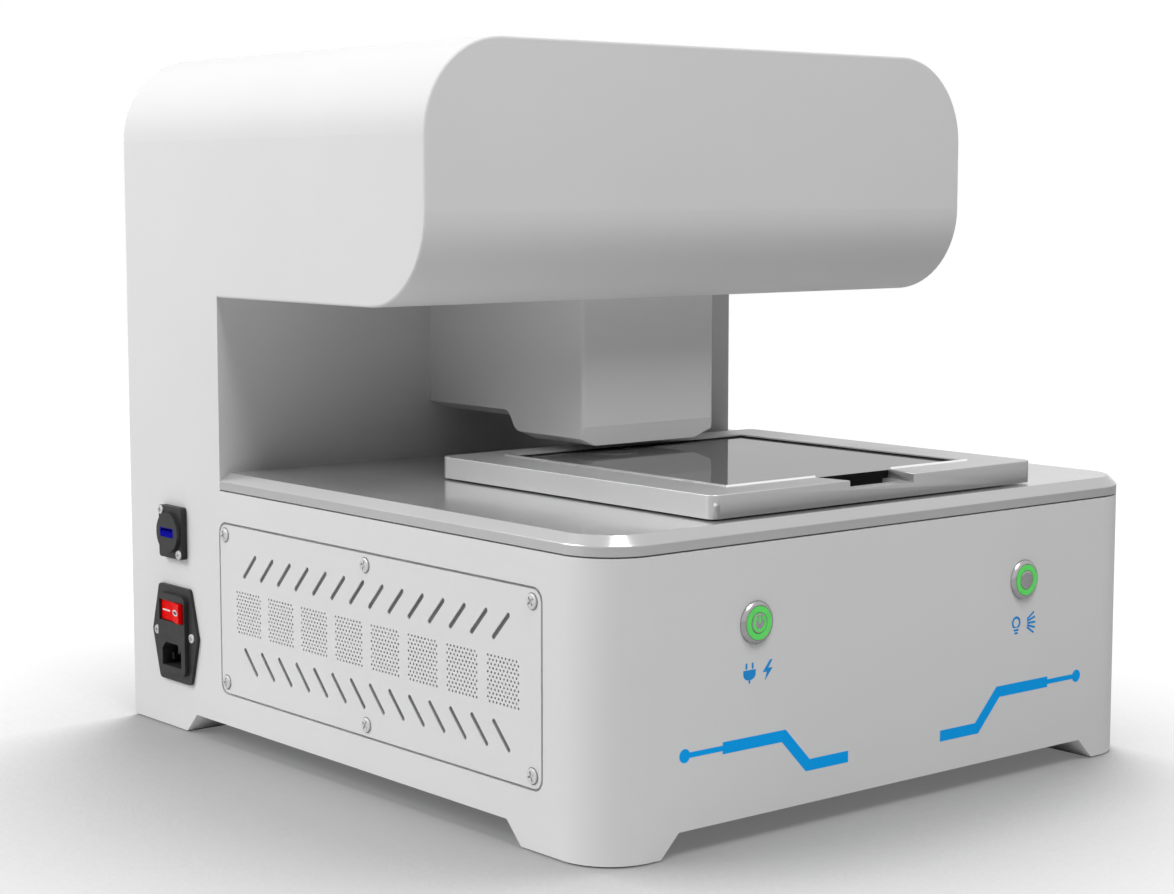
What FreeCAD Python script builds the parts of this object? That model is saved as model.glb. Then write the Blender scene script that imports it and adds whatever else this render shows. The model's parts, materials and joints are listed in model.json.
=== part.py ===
import FreeCAD, Part
import math
import os

# Benchtop reflectometer: a base with a worktop, a column at the back and an overhanging head.
# A tray carries the sample under a measuring nose that hangs from the head.
# Millimetres, +Z up, +X to the operator's right, +Y to the back, origin on the floor under the middle.

os.makedirs("parts", exist_ok=True)
V = FreeCAD.Vector
X_AXIS = V(1, 0, 0)
Y_AXIS = V(0, 1, 0)
Z_AXIS = V(0, 0, 1)

# Overall size, sheet metal and clearances
body_width = 400.0
body_depth = 448.0
sheet = 2.0
cover_gap = 0.5
shaft_gap = 0.05
seat_gap = 0.1
moving_gap = 0.3

# Base, feet and rubber pads
pad_thickness = 1.0
pad_inset = 2.0
foot_height = 11.5
foot_width = 37.0
front_foot_length = 62.0
rear_foot_length = 63.0
base_height = 136.7
base_corner_radius = 30.0
top_flange = 18.0

# Worktop and its gasket
gasket_thickness = 0.8
gasket_inset = 2.5
gasket_width = 9.0
deck_thickness = 10.0
deck_chamfer = 5.0
deck_rear_gap = 0.3

# Column and head
column_depth = 105.0
throat_height = 100.5
head_overhang = 204.0
head_height = 139.5
head_side_radius = 50.0
head_front_radius = 50.0
head_edge_round = 1.5

# Rear cover and bottom pan
rear_lip = 12.0
pan_upstand = 14.0
pan_fold_inset = 36.0

# Sample tray and the plate in it
tray_width = 240.0
tray_depth = 225.0
tray_thickness = 12.0
tray_gap = 1.0
tray_front_margin = 11.5
tray_corner_radius = 5.0
tray_floor = 3.0
tray_end_rim = 22.5
tray_stop_gap = 2.5
sample_thickness = 5.0
sample_recess = 1.3
sample_ledge = 6.0
rim_bevel = 1.2
notch_width = 48.0
notch_depth = 4.8
notch_shelf = 9.0
notch_flare = 4.0
heel_width = 85.0
heel_depth = 12.0
heel_inset = 8.0

# Measuring nose
sample_gap = 3.2
nose_width = 100.0
nose_depth = 147.0
nose_wall = 3.0
nose_flange = 6.0
nose_step_rise = 12.0
nose_step_gap = 8.7
nose_step_angle = 58.0
nose_step_radius = 7.0
nose_bevel_run = 12.0
nose_bevel_rise = 4.8
nose_front_bevel_run = 3.2
nose_front_bevel_rise = 11.3
nose_edge_round = 2.0

# Optics in the nose and head
port_radius = 8.0
port_ring_radius = 13.8
port_ring_proud = 0.8
sphere_bore = 44.0
sphere_wall = 3.0
sphere_front_gap = 4.0
sphere_sides = 16
sphere_bands = 4
sphere_lug_length = 12.0
sphere_lug_width = 24.0
sphere_lug_thickness = 4.0
hanger_flats = 6.0
hanger_inset = 3.5
optics_plate_thickness = 4.0
optics_plate_width = 300.0
optics_plate_depth = 150.0
optics_window = 62.0
detector_tilt = 8.0
detector_radius = 7.0
detector_port_radius = 5.0
lamp_rise = 14.0
lamp_radius = 11.0
lamp_sink_radius = 13.0
lamp_length = 52.0
lamp_port_radius = 7.0
lamp_sides = 8
spectrometer_width = 110.0
spectrometer_depth = 84.0
spectrometer_height = 60.0
spectrometer_corner = 8.0

# Slide under the worktop
rail_spread = 132.0
rail_width = 12.0
rail_height = 8.0
rail_groove = 1.0
bearing_width = 27.0
bearing_length = 30.0
bearing_drop = 13.0
bearing_top_gap = 3.0
carriage_length = 80.0
carriage_thickness = 8.0
rail_end_margin = 10.0
post_spread = 105.0
post_width = 10.0
post_length = 11.0
slot_gap = 2.0
screw_drop = 14.0
screw_radius = 5.0
screw_block_wall = 7.0
lead_nut_length = 24.0
end_bearing_length = 14.0
motor_side = 42.0
motor_length = 40.0
motor_corner = 4.0
motor_screw_depth = 12.0
motor_plate = 5.0

# Vent panel in the left side
vent_corner_radius = 6.0
vent_front_margin = 45.6
vent_floor_margin = 19.1
vent_top_margin = 18.6
vent_inlet_gap = 24.55
vent_groove = 1.0
vent_ledge_out = 6.0
vent_ledge_in = 12.0
vent_slot_width = 2.2
vent_slot_length = 20.0
vent_slot_angle = 46.0
vent_slot_pitch = 18.0
vent_slot_margin = 30.0
vent_row_offset = 27.4

# Mains inlet with rocker, in the left side at the back
inlet_from_back = 53.6
inlet_height = 58.4
inlet_width = 52.5
inlet_top_width = 36.0
inlet_rise = 57.6
inlet_corner_radius = 3.0
inlet_flange = 2.0
inlet_boss = 2.4
inlet_boss_width = 31.0
inlet_boss_height = 48.0
inlet_boss_radius = 4.0
inlet_body_depth = 30.0
inlet_body_margin = 1.5
plug_width = 22.0
plug_height = 14.0
plug_corner = 4.0
plug_depth = 17.0
plug_drop = 12.5
pin_length = 12.0
pin_width = 2.0
pin_height = 4.0
pin_spread = 7.0
pin_offset = 2.0
rocker_width = 26.0
rocker_height = 11.6
rocker_lift = 13.6
rocker_proud = 0.4
rocker_dip = 1.2
rocker_depth = 6.0
rocker_taper = 1.0
rocker_swing = 8.0
rocker_gap = 0.4
rocker_side_gap = 1.0
rocker_pocket = 10.0
rocker_pivot_depth = 3.0
rocker_pin_radius = 1.2
rocker_pin_length = 1.2

# Data socket above the inlet
socket_height = 119.8
socket_width = 26.0
socket_rise = 31.0
socket_flange = 4.0
socket_corner_radius = 2.0
socket_collar_radius = 12.0
socket_collar = 2.4
socket_body_width = 22.0
socket_body_corner = 4.0
socket_body_depth = 22.0
insert_width = 15.0
insert_height = 5.4
insert_depth = 12.0
insert_mouth_width = 12.4
insert_mouth_height = 2.2
insert_mouth_depth = 9.0

# Push buttons in the front of the base
button_spread = 101.0
button_height = 109.7
button_bezel_radius = 11.0
button_proud = 2.2
button_barrel_radius = 9.0
button_barrel_sides = 24
button_barrel_depth = 20.0
button_hole_gap = 0.3
button_ring_radius = 8.4
button_ring_bore = 5.4
button_ring_proud = 0.2
button_ring_depth = 5.0
button_cap_proud = 0.5
button_stem_length = 14.0
button_nut_flats = 24.0
button_nut_thickness = 3.0

# Electronics on the bottom pan
supply_width = 97.0
supply_length = 159.0
supply_height = 42.0
supply_terminal = 18.0
supply_step = 28.0
supply_from_left = 16.0
supply_from_back = 100.0
board_width = 150.0
board_length = 110.0
board_thickness = 1.6
board_from_right = 24.0
board_from_front = 74.0
chip_side = 26.0
chip_height = 4.0
connector_width = 9.0
connector_height = 11.0
standoff_height = 8.0
standoff_flats = 6.0
standoff_inset = 6.0

# Planes and heights that follow from the sizes above
left = -body_width / 2
right = body_width / 2
front = -body_depth / 2
back = body_depth / 2
inner_left = left + sheet
inner_right = right - sheet
inner_front = front + sheet
cover_plane = back - sheet
base_floor = pad_thickness + foot_height
base_top = base_floor + base_height
flange_under = base_top - sheet
pan_top = base_floor + sheet
deck_bottom = base_top + gasket_thickness
deck_top = deck_bottom + deck_thickness
column_front = back - column_depth
deck_back = column_front - deck_rear_gap
head_under = deck_top + throat_height
head_floor = head_under + sheet
head_front = column_front - head_overhang
body_height = head_under + head_height
tray_bottom = deck_top + tray_gap
tray_top = tray_bottom + tray_thickness
tray_front = front + tray_front_margin
tray_back = tray_front + tray_depth
tray_middle = (tray_front + tray_back) / 2
tray_travel = column_front - tray_back - tray_stop_gap
sample_side = tray_depth - 2 * tray_end_rim
nose_tip = tray_top + sample_gap
nose_front = column_front - nose_depth
nose_floor = nose_tip + nose_wall
sphere_half = sphere_bore / 2 + sphere_wall
port_y = nose_front + nose_wall + sphere_front_gap + sphere_half
sphere_z = nose_floor + sphere_half
sphere_back = port_y + sphere_half
lug_end = sphere_half + sphere_lug_length
hanger_bottom = sphere_z + sphere_lug_thickness
optics_floor = head_floor + optics_plate_thickness
inlet_y = back - inlet_from_back
inlet_face = left - inlet_flange - inlet_boss
socket_face = left - socket_flange - socket_collar
vent_front = front + vent_front_margin
vent_back = inlet_y - inlet_width / 2 - vent_inlet_gap
vent_length = vent_back - vent_front
vent_y = (vent_front + vent_back) / 2
vent_bottom = base_floor + vent_floor_margin
vent_height = base_top - vent_top_margin - vent_bottom
vent_z = vent_bottom + vent_height / 2


def box(x0, x1, y0, y1, z0, z1):
    """Block between two planes along each axis."""
    return Part.makeBox(x1 - x0, y1 - y0, z1 - z0, V(x0, y0, z0))


def rod(start, end, radius):
    """Round bar from one point to another."""
    along = end - start
    return Part.makeCylinder(radius, along.Length, start, along)


def on_plan(z):
    """Places outline points in the horizontal plane at height z."""
    return lambda u, v: V(u, v, z)


def on_front(y):
    """Places outline points in the upright plane across the body at depth y."""
    return lambda u, v: V(u, y, v)


def on_side(x):
    """Places outline points in the upright plane along the body at x."""
    return lambda u, v: V(x, u, v)


def polygon(points, place):
    """Flat face with straight edges through the points."""
    corners = [place(u, v) for u, v in points]
    return Part.Face(Part.makePolygon(corners + corners[:1]))


def rounded(u0, u1, v0, v1, radii, place):
    """Rectangle with its own corner radii: low-low, high-low, high-high and low-high."""
    corners = [(u0, v0, 1, 1), (u1, v0, -1, 1), (u1, v1, -1, -1), (u0, v1, 1, -1)]
    rounds = []
    for number, ((u, v, du, dv), radius) in enumerate(zip(corners, radii)):
        along_u = place(u + du * radius, v)
        along_v = place(u, v + dv * radius)
        bulge = radius * (1 - math.sqrt(0.5))
        middle = place(u + du * bulge, v + dv * bulge)
        ends = (along_v, along_u) if number % 2 == 0 else (along_u, along_v)
        rounds.append((ends[0], middle, ends[1], radius))
    edges = []
    for (first, middle, last, radius), following in zip(rounds, rounds[1:] + rounds[:1]):
        if radius > 0:
            edges.append(Part.Arc(first, middle, last).toShape())
        if last.distanceToPoint(following[0]) > 1e-6:
            edges.append(Part.makeLine(last, following[0]))
    return Part.Face(Part.Wire(edges))


def clipped(half_u, half_v, corner):
    """Points of a rectangle about zero with its corners cut off."""
    u = half_u - corner
    v = half_v - corner
    return [(half_u, -v), (half_u, v), (u, half_v), (-u, half_v), (-half_u, v), (-half_u, -v), (-u, -half_v),
            (u, -half_v)]


def moved(points, u, v):
    """The same points shifted to a new centre."""
    return [(u + pu, v + pv) for pu, pv in points]


def regular(sides, radius):
    """Points of a regular polygon about zero."""
    turns = [2 * math.pi * step / sides for step in range(sides)]
    return [(radius * math.cos(turn), radius * math.sin(turn)) for turn in turns]


def hexagon(across_flats):
    """Points of a regular hexagon about zero."""
    return regular(6, across_flats / math.sqrt(3))


def turned(profile, origin, direction):
    """Solid of revolution: (radius, height) points turned about a line through origin."""
    points = [V(radius, 0, height) for radius, height in profile]
    solid = Part.Face(Part.makePolygon(points + points[:1])).revolve(V(0, 0, 0), Z_AXIS, 360)
    solid.Placement = FreeCAD.Placement(origin, FreeCAD.Rotation(Z_AXIS, direction))
    return solid


def joined(first, *others):
    """One solid from several that touch or overlap."""
    return first.fuse(list(others)).removeSplitter()


def save(name, *solids):
    """Writes one node: a single solid, or a group of separate ones."""
    shape = solids[0] if len(solids) == 1 else Part.makeCompound(list(solids))
    shape.exportStep(os.path.join("parts", name + ".step"))


# Base housing: folded and welded steel tub with feet, an inward top flange and a cross strip
button_centres = [V(-button_spread, front, button_height), V(button_spread, front, button_height)]


def base_plan(inset, rear, z):
    """Plan outline of the base with round front corners."""
    radius = base_corner_radius - inset
    return rounded(left + inset, right - inset, front + inset, rear, (radius, radius, 0, 0), on_plan(z))


def foot_channels():
    """Two crossing channels under the base that leave the four corner feet."""
    across = [(front + front_foot_length, pad_thickness), (back - rear_foot_length, pad_thickness),
              (back - rear_foot_length - foot_height, base_floor),
              (front + front_foot_length + foot_height, base_floor)]
    along = [(left + foot_width, pad_thickness), (right - foot_width, pad_thickness),
             (right - foot_width - foot_height, base_floor), (left + foot_width + foot_height, base_floor)]
    return [polygon(across, on_side(left)).extrude(V(body_width, 0, 0)),
            polygon(along, on_front(front)).extrude(V(0, body_depth, 0))]


def vent_outline(grow, x):
    """Rounded outline of the vent panel, grown by a margin."""
    half_length = vent_length / 2 + grow
    half_height = vent_height / 2 + grow
    radius = max(vent_corner_radius + grow, 0)
    return rounded(vent_y - half_length, vent_y + half_length, vent_z - half_height, vent_z + half_height,
                   (radius,) * 4, on_side(x))


def inlet_block(x0, x1, grow):
    """Block behind the inlet's boss, grown for its cut-out in the wall."""
    half_width = inlet_boss_width / 2 - inlet_body_margin + grow
    half_height = inlet_boss_height / 2 - inlet_body_margin + grow
    return box(x0, x1, inlet_y - half_width, inlet_y + half_width, inlet_height - half_height,
               inlet_height + half_height)


def socket_barrel(grow):
    """Barrel of the data socket behind the wall, grown for the room it needs in the housings."""
    half = socket_body_width / 2 + grow
    outline = moved(clipped(half, half, socket_body_corner), inlet_y, socket_height)
    return polygon(outline, on_side(left)).extrude(V(socket_body_depth, 0, 0))


def button_barrel(centre, grow):
    """Many-sided barrel of a push button behind the front, grown for what goes round it."""
    outline = moved(regular(button_barrel_sides, button_barrel_radius + grow), centre.x, centre.z)
    return polygon(outline, on_front(front)).extrude(V(0, button_barrel_depth, 0))


def rear_window(z):
    """Opening in a top or bottom flange between the base and the column."""
    return box(left + top_flange, right - top_flange, column_front + top_flange, back, z, z + sheet)


def base_housing():
    """Tub walls, feet, top flange, vent ledge and every cut-out in the base."""
    tub = base_plan(0, back, pad_thickness).extrude(V(0, 0, base_top - pad_thickness)).cut(foot_channels())
    hollow = base_plan(sheet, back, base_floor).extrude(V(0, 0, flange_under - base_floor))
    deck_window = base_plan(top_flange, column_front - top_flange, flange_under).extrude(V(0, 0, sheet))
    cover_recess = box(inner_left, inner_right, cover_plane, back, base_floor, base_top)
    tub = tub.cut([hollow, deck_window, rear_window(flange_under), cover_recess])
    lips = [box(x, x + rear_lip, cover_plane - sheet, cover_plane, pan_top + cover_gap, flange_under)
            for x in (inner_left, inner_right - rear_lip)]
    ledge = vent_outline(vent_groove + vent_ledge_out, inner_left).extrude(V(sheet, 0, 0))
    ledge = ledge.cut(vent_outline(-vent_ledge_in, inner_left).extrude(V(sheet, 0, 0)))
    cuts = [vent_outline(vent_groove, left).extrude(V(sheet, 0, 0)), inlet_block(left, inner_left, cover_gap),
            socket_barrel(cover_gap)]
    cuts += [button_barrel(centre, button_hole_gap) for centre in button_centres]
    return joined(tub, ledge, *lips).cut(cuts)


# Arm housing: column and overhanging head, one welded shell with crossed roundings
def arm_side_profile(inset, bottom):
    """Side view of column and head, drawn in from the outside by inset."""
    radius = head_front_radius - inset
    face = head_front + inset
    under = head_under + inset
    bulge = radius * (1 - math.sqrt(0.5))
    place = on_side(left)
    arc = Part.Arc(place(face, under + radius), place(face + bulge, under + bulge),
                   place(face + radius, under))
    corners = [(face + radius, under), (column_front + inset, under), (column_front + inset, bottom),
               (back, bottom), (back, body_height - inset), (face, body_height - inset),
               (face, under + radius)]
    lines = [Part.makeLine(place(*start), place(*end)) for start, end in zip(corners, corners[1:])]
    return Part.Face(Part.Wire([arc.toShape()] + lines))


def arm_front_profile(inset, bottom, y):
    """Front view of the arm: upright sides and round upper corners."""
    radius = head_side_radius - inset
    return rounded(left + inset, right - inset, bottom, body_height - inset, (0, 0, radius, radius),
                   on_front(y))


def arm_solid(inset, bottom):
    """Side profile and front profile crossed into one solid."""
    side = arm_side_profile(inset, bottom).extrude(V(body_width, 0, 0))
    return side.common(arm_front_profile(inset, bottom, head_front).extrude(V(0, back - head_front, 0)))


def upper_front_edges(solid):
    """Edges of the head's front face that bend over the top, above its lower rounding."""
    edges = []
    for edge in solid.Edges:
        on_face = all(abs(vertex.Y - head_front) < 1e-4 for vertex in edge.Vertexes)
        if on_face and edge.CenterOfMass.z > head_under + head_front_radius + 1e-4:
            edges.append(edge)
    return edges


def hanger_columns(grow):
    """Two hexagon columns from the sphere's lugs to the optics plate, grown for the room round them."""
    outline = hexagon(hanger_flats + 2 * grow)
    upward = V(0, 0, head_floor - hanger_bottom)
    return [polygon(moved(outline, x, port_y), on_plan(hanger_bottom)).extrude(upward)
            for x in (hanger_inset - lug_end, lug_end - hanger_inset)]


def arm_housing():
    """Shell of column and head, open to the base, the nose and the rear cover."""
    outer = arm_solid(0, base_top)
    outer = outer.makeFillet(head_edge_round, upper_front_edges(outer))
    shell = outer.cut(arm_solid(sheet, base_top + sheet))
    cover_recess = arm_front_profile(sheet, base_top, cover_plane).extrude(V(0, sheet, 0))
    flange = nose_wall + nose_flange
    nose_window = box(flange - nose_width / 2, nose_width / 2 - flange, nose_front + flange,
                      column_front - nose_flange, head_under, head_floor)
    shell = shell.cut([rear_window(base_top), cover_recess, nose_window, socket_barrel(cover_gap)])
    shell = shell.cut(hanger_columns(cover_gap))
    lip_plane = cover_plane - sheet
    lip = arm_front_profile(sheet, base_top + sheet, lip_plane).extrude(V(0, sheet, 0))
    lip = lip.cut(arm_front_profile(sheet + rear_lip, base_top, lip_plane).extrude(V(0, sheet, 0)))
    return joined(shell, lip)


save("base_housing", base_housing())
save("arm_housing", arm_housing())

# Rear cover: flat sheet let into the back of base and arm, against their lips
cover_face = arm_front_profile(sheet + cover_gap, pan_top + cover_gap, cover_plane)
save("rear_cover", cover_face.extrude(V(0, sheet, 0)))

# Bottom pan: sheet that closes the base from below, folded up at the back behind the cover
pan_sheet = base_plan(sheet + cover_gap, cover_plane, base_floor).extrude(V(0, 0, sheet))
pan_fold = box(left + pan_fold_inset, right - pan_fold_inset, cover_plane - sheet, cover_plane, pan_top,
               pan_top + pan_upstand)
save("bottom_pan", joined(pan_sheet, pan_fold))

# Foot pads: thin rubber under each corner foot
pad_sheet = base_plan(pad_inset, back - pad_inset, 0).extrude(V(0, 0, pad_thickness))
pad_cuts = [box(left, right, front + front_foot_length - pad_inset, back - rear_foot_length + pad_inset, 0,
                pad_thickness),
            box(left + foot_width - pad_inset, right - foot_width + pad_inset, front, back, 0, pad_thickness)]
save("foot_pads", *pad_sheet.cut(pad_cuts).Solids)

# Worktop: thick plate with a bevelled rim, on a gasket that shows as a dark line
slot_low = tray_middle - post_length / 2 - slot_gap
slot_high = tray_middle + tray_travel + post_length / 2 + slot_gap
slot_half = post_width / 2 + slot_gap


def deck_plate():
    """Worktop with the two slots that the tray always covers."""
    plate = base_plan(0, deck_back, deck_bottom).extrude(V(0, 0, deck_thickness))
    plate = plate.makeChamfer(deck_chamfer, [edge for edge in plate.Edges if
                                             abs(edge.CenterOfMass.z - deck_top) < 1e-4])
    return plate.cut([box(x - slot_half, x + slot_half, slot_low, slot_high, deck_bottom, deck_top)
                      for x in (-post_spread, post_spread)])


gasket_inner = gasket_inset + gasket_width
gasket_face = base_plan(gasket_inset, deck_back - gasket_inset, base_top)
gasket_face = gasket_face.cut(base_plan(gasket_inner, deck_back - gasket_inner, base_top))
save("deck_plate", deck_plate())
save("deck_gasket", gasket_face.extrude(V(0, 0, gasket_thickness)))


# Vent panel: removable sheet, flush with the side wall, with two rows of slanted slots
def vent_slot(y, z, lean):
    """Slanted slot with clipped ends, centred at y, z."""
    half = vent_slot_width / 2
    slot = polygon(clipped(vent_slot_length / 2, half, half / 2), on_side(0))
    slot.rotate(V(0, 0, 0), X_AXIS, lean * vent_slot_angle)
    slot.translate(V(left, y, z))
    return slot.extrude(V(sheet, 0, 0))


def vent_panel():
    """Panel with its slots leaning one way above and the other way below."""
    slots = []
    count = int((vent_length - 2 * vent_slot_margin) / vent_slot_pitch) + 1
    for number in range(count):
        y = vent_y + (number - (count - 1) / 2) * vent_slot_pitch
        slots.append(vent_slot(y, vent_z + vent_row_offset, -1))
        slots.append(vent_slot(y, vent_z - vent_row_offset, 1))
    return vent_outline(0, left).extrude(V(sheet, 0, 0)).cut(slots)


save("vent_panel", vent_panel())

# Mains inlet: flanged block with a rocker window above and a plug recess below
rocker_z = inlet_height + rocker_lift
rocker_pivot = V(inlet_face + rocker_pivot_depth, inlet_y, rocker_z)
plug_z = inlet_height - plug_drop
plug_floor = inlet_face + plug_depth


def inlet_flange_plate():
    """Six-sided flange with rounded corners."""
    half_width = inlet_width / 2
    half_top = inlet_top_width / 2
    half_rise = inlet_rise / 2
    points = [(half_width, 0), (half_top, half_rise), (-half_top, half_rise), (-half_width, 0),
              (-half_top, -half_rise), (half_top, -half_rise)]
    plate = polygon(moved(points, inlet_y, inlet_height), on_side(left - inlet_flange))
    plate = plate.extrude(V(inlet_flange, 0, 0))
    corners = [edge for edge in plate.Edges if abs(edge.Vertexes[0].X - edge.Vertexes[1].X) > 1e-4]
    return plate.makeFillet(inlet_corner_radius, corners)


def plug_recess():
    """Recess for the mains plug, with its two slanted upper corners."""
    u = plug_width / 2
    v = plug_height / 2
    points = [(-u, -v), (u, -v), (u, v - plug_corner), (u - plug_corner, v), (plug_corner - u, v),
              (-u, v - plug_corner)]
    return polygon(moved(points, inlet_y, plug_z), on_side(inlet_face)).extrude(V(plug_depth, 0, 0))


def mains_inlet():
    """Flange, raised boss and rear block of the inlet, with its cut-outs."""
    half_width = inlet_boss_width / 2
    half_height = inlet_boss_height / 2
    boss = rounded(inlet_y - half_width, inlet_y + half_width, inlet_height - half_height,
                   inlet_height + half_height, (inlet_boss_radius,) * 4, on_side(inlet_face))
    body = joined(inlet_flange_plate(), boss.extrude(V(inlet_boss, 0, 0)),
                  inlet_block(left, left + inlet_body_depth, 0))
    window_y = rocker_width / 2 + rocker_side_gap
    window_z = rocker_height / 2 + rocker_gap
    window = box(inlet_face, inlet_face + rocker_pocket, inlet_y - window_y, inlet_y + window_y,
                 rocker_z - window_z, rocker_z + window_z)
    reach = V(0, 0, rocker_height / 2 + rocker_pin_length + rocker_gap)
    pivot_hole = rod(rocker_pivot - reach, rocker_pivot + reach, rocker_pin_radius + shaft_gap)
    return body.cut([plug_recess(), window, pivot_hole])


def inlet_pins():
    """Three flat blades standing on the floor of the plug recess."""
    places = [(-pin_spread, -pin_offset), (pin_spread, -pin_offset), (0, pin_offset)]
    return [box(plug_floor - pin_length, plug_floor, inlet_y + u - pin_width / 2, inlet_y + u + pin_width / 2,
                plug_z + v - pin_height / 2, plug_z + v + pin_height / 2) for u, v in places]


def mains_rocker():
    """Dished rocker on two pivot pins, tipped to its on side."""
    half = rocker_width / 2
    profile = [(-rocker_proud, -half), (rocker_dip - rocker_proud, 0), (-rocker_proud, half),
               (rocker_depth, half - rocker_taper), (rocker_depth, rocker_taper - half)]
    body = polygon(moved(profile, inlet_face, inlet_y), on_plan(rocker_z - rocker_height / 2))
    body = body.extrude(V(0, 0, rocker_height))
    reach = V(0, 0, rocker_height / 2 + rocker_pin_length)
    rocker = joined(body, rod(rocker_pivot - reach, rocker_pivot + reach, rocker_pin_radius))
    rocker.rotate(rocker_pivot, Z_AXIS, -rocker_swing)
    return rocker


save("mains_inlet", mains_inlet())
save("inlet_pins", *inlet_pins())
save("mains_rocker", mains_rocker())


# Data socket: square flange with a round collar and a slotted insert
def insert_block(grow):
    """Block of the socket's insert, grown for the recess that takes it."""
    half_width = insert_width / 2 + grow
    half_height = insert_height / 2 + grow
    return box(socket_face, socket_face + insert_depth, inlet_y - half_width, inlet_y + half_width,
               socket_height - half_height, socket_height + half_height)


def data_socket():
    """Flange, collar and barrel of the socket, with the recess for its insert."""
    half, rise = socket_width / 2, socket_rise / 2
    flange = rounded(inlet_y - half, inlet_y + half, socket_height - rise, socket_height + rise,
                     (socket_corner_radius,) * 4, on_side(left - socket_flange))
    collar = rod(V(socket_face, inlet_y, socket_height), V(left, inlet_y, socket_height),
                 socket_collar_radius)
    whole = joined(flange.extrude(V(socket_flange, 0, 0)), collar, socket_barrel(0))
    return whole.cut(insert_block(seat_gap))


insert_mouth = box(socket_face, socket_face + insert_mouth_depth, inlet_y - insert_mouth_width / 2,
                   inlet_y + insert_mouth_width / 2, socket_height, socket_height + insert_mouth_height)
save("data_socket", data_socket())
save("data_socket_insert", insert_block(0).cut(insert_mouth))


# Push buttons: bezel, light ring and sprung cap, held by a nut behind the front wall
def button_bezel(centre):
    """Round bezel on a many-sided barrel, bored right through for the light ring."""
    face = centre - V(0, button_proud, 0)
    end = centre + V(0, button_barrel_depth, 0)
    bezel = joined(rod(face, centre, button_bezel_radius), button_barrel(centre, 0))
    return bezel.cut(rod(face, end, button_ring_radius + seat_gap))


def button_ring(centre):
    """Light ring in the mouth of the bezel."""
    face = -button_proud - button_ring_proud
    end = face + button_ring_depth
    profile = [(button_ring_bore, face), (button_ring_radius, face), (button_ring_radius, end),
               (button_ring_bore, end)]
    return turned(profile, centre, Y_AXIS)


def button_cap(centre):
    """Moving cap that slides inside the ring."""
    face = centre - V(0, button_proud + button_cap_proud, 0)
    return rod(face, face + V(0, button_stem_length, 0), button_ring_bore - moving_gap)


def button_nut(centre):
    """Hexagon nut on the barrel, tight on the inside of the wall."""
    nut = polygon(moved(hexagon(button_nut_flats), centre.x, centre.z), on_front(inner_front))
    return nut.extrude(V(0, button_nut_thickness, 0)).cut(button_barrel(centre, shaft_gap))


for button, centre in zip(("power_button", "lamp_button"), button_centres):
    save(button + "_bezel", button_bezel(centre))
    save(button + "_ring", button_ring(centre))
    save(button + "_cap", button_cap(centre))
save("button_nuts", *[button_nut(centre) for centre in button_centres])


# Measuring nose: moulded cover under the head, stepped and bevelled underneath
def rounding(corner, before, after, radius, turn):
    """Arc that rounds a corner of a path, with its two ends."""
    reach = radius * math.tan(turn / 2)
    start = corner - before * reach
    end = corner + after * reach
    inward = (after - before).normalize()
    middle = corner + inward * (radius / math.cos(turn / 2) - radius)
    return start, Part.Arc(start, middle, end).toShape(), end


def nose_section(x, lift, inset):
    """Side profile of the nose at one x: lift raises its underside and inset draws it in."""
    turn = math.radians(nose_step_angle)
    tip = nose_tip + lift + inset
    rear = tip + nose_step_rise
    face = nose_front + inset
    half_run = nose_step_rise / 2 / math.tan(turn)
    step_y = sphere_back + nose_step_gap + inset / math.tan(turn)
    forward = V(0, -1, 0)
    down = V(0, -math.cos(turn), -math.sin(turn))
    upper = rounding(V(x, step_y + half_run, rear), forward, down, nose_step_radius, turn)
    lower = rounding(V(x, step_y - half_run, tip), down, forward, nose_step_radius, turn)
    bevel_top = nose_tip + inset + nose_front_bevel_rise
    bevel_share = (bevel_top - tip) / nose_front_bevel_rise
    corners = [lower[2], V(x, face + nose_front_bevel_run * bevel_share, tip), V(x, face, bevel_top),
               V(x, face, head_under), V(x, column_front, head_under), V(x, column_front, rear), upper[0]]
    lines = [Part.makeLine(start, end) for start, end in zip(corners, corners[1:])]
    return Part.Wire(lines + [upper[1], Part.makeLine(upper[2], lower[0]), lower[1]])


def nose_solid(inset):
    """Ruled loft through four side profiles, which bevels both lower edges."""
    outer = nose_width / 2 - inset
    inner = nose_width / 2 - nose_bevel_run
    places = [(-outer, nose_bevel_rise), (-inner, 0), (inner, 0), (outer, nose_bevel_rise)]
    return Part.makeLoft([nose_section(x, lift, inset) for x, lift in places], True, True)


def nose_cover():
    """Hollow nose with a flange round its top and the measuring aperture in its tip."""
    outer = nose_solid(0)
    upright = [edge for edge in outer.Edges if abs(edge.CenterOfMass.y - nose_front) < 1e-4 and
               abs(abs(edge.CenterOfMass.x) - nose_width / 2) < 1e-4]
    shell = outer.makeFillet(nose_edge_round, upright).cut(nose_solid(nose_wall))
    half = nose_width / 2 - nose_wall
    flange = box(-half, half, nose_front + nose_wall, column_front, head_under - nose_wall, head_under)
    window = box(nose_flange - half, half - nose_flange, nose_front + nose_wall + nose_flange,
                 column_front - nose_flange, head_under - nose_wall, head_under)
    aperture = rod(V(0, port_y, nose_tip), V(0, port_y, nose_floor), port_ring_radius + seat_gap)
    return joined(shell, flange.cut(window)).cut([aperture] + hanger_columns(cover_gap))


port_profile = [(port_radius, nose_tip - port_ring_proud), (port_ring_radius, nose_tip - port_ring_proud),
                (port_ring_radius, nose_floor), (port_radius, nose_floor)]
save("nose_cover", nose_cover())
save("port_ring", turned(port_profile, V(0, port_y, 0), Z_AXIS))

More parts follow.
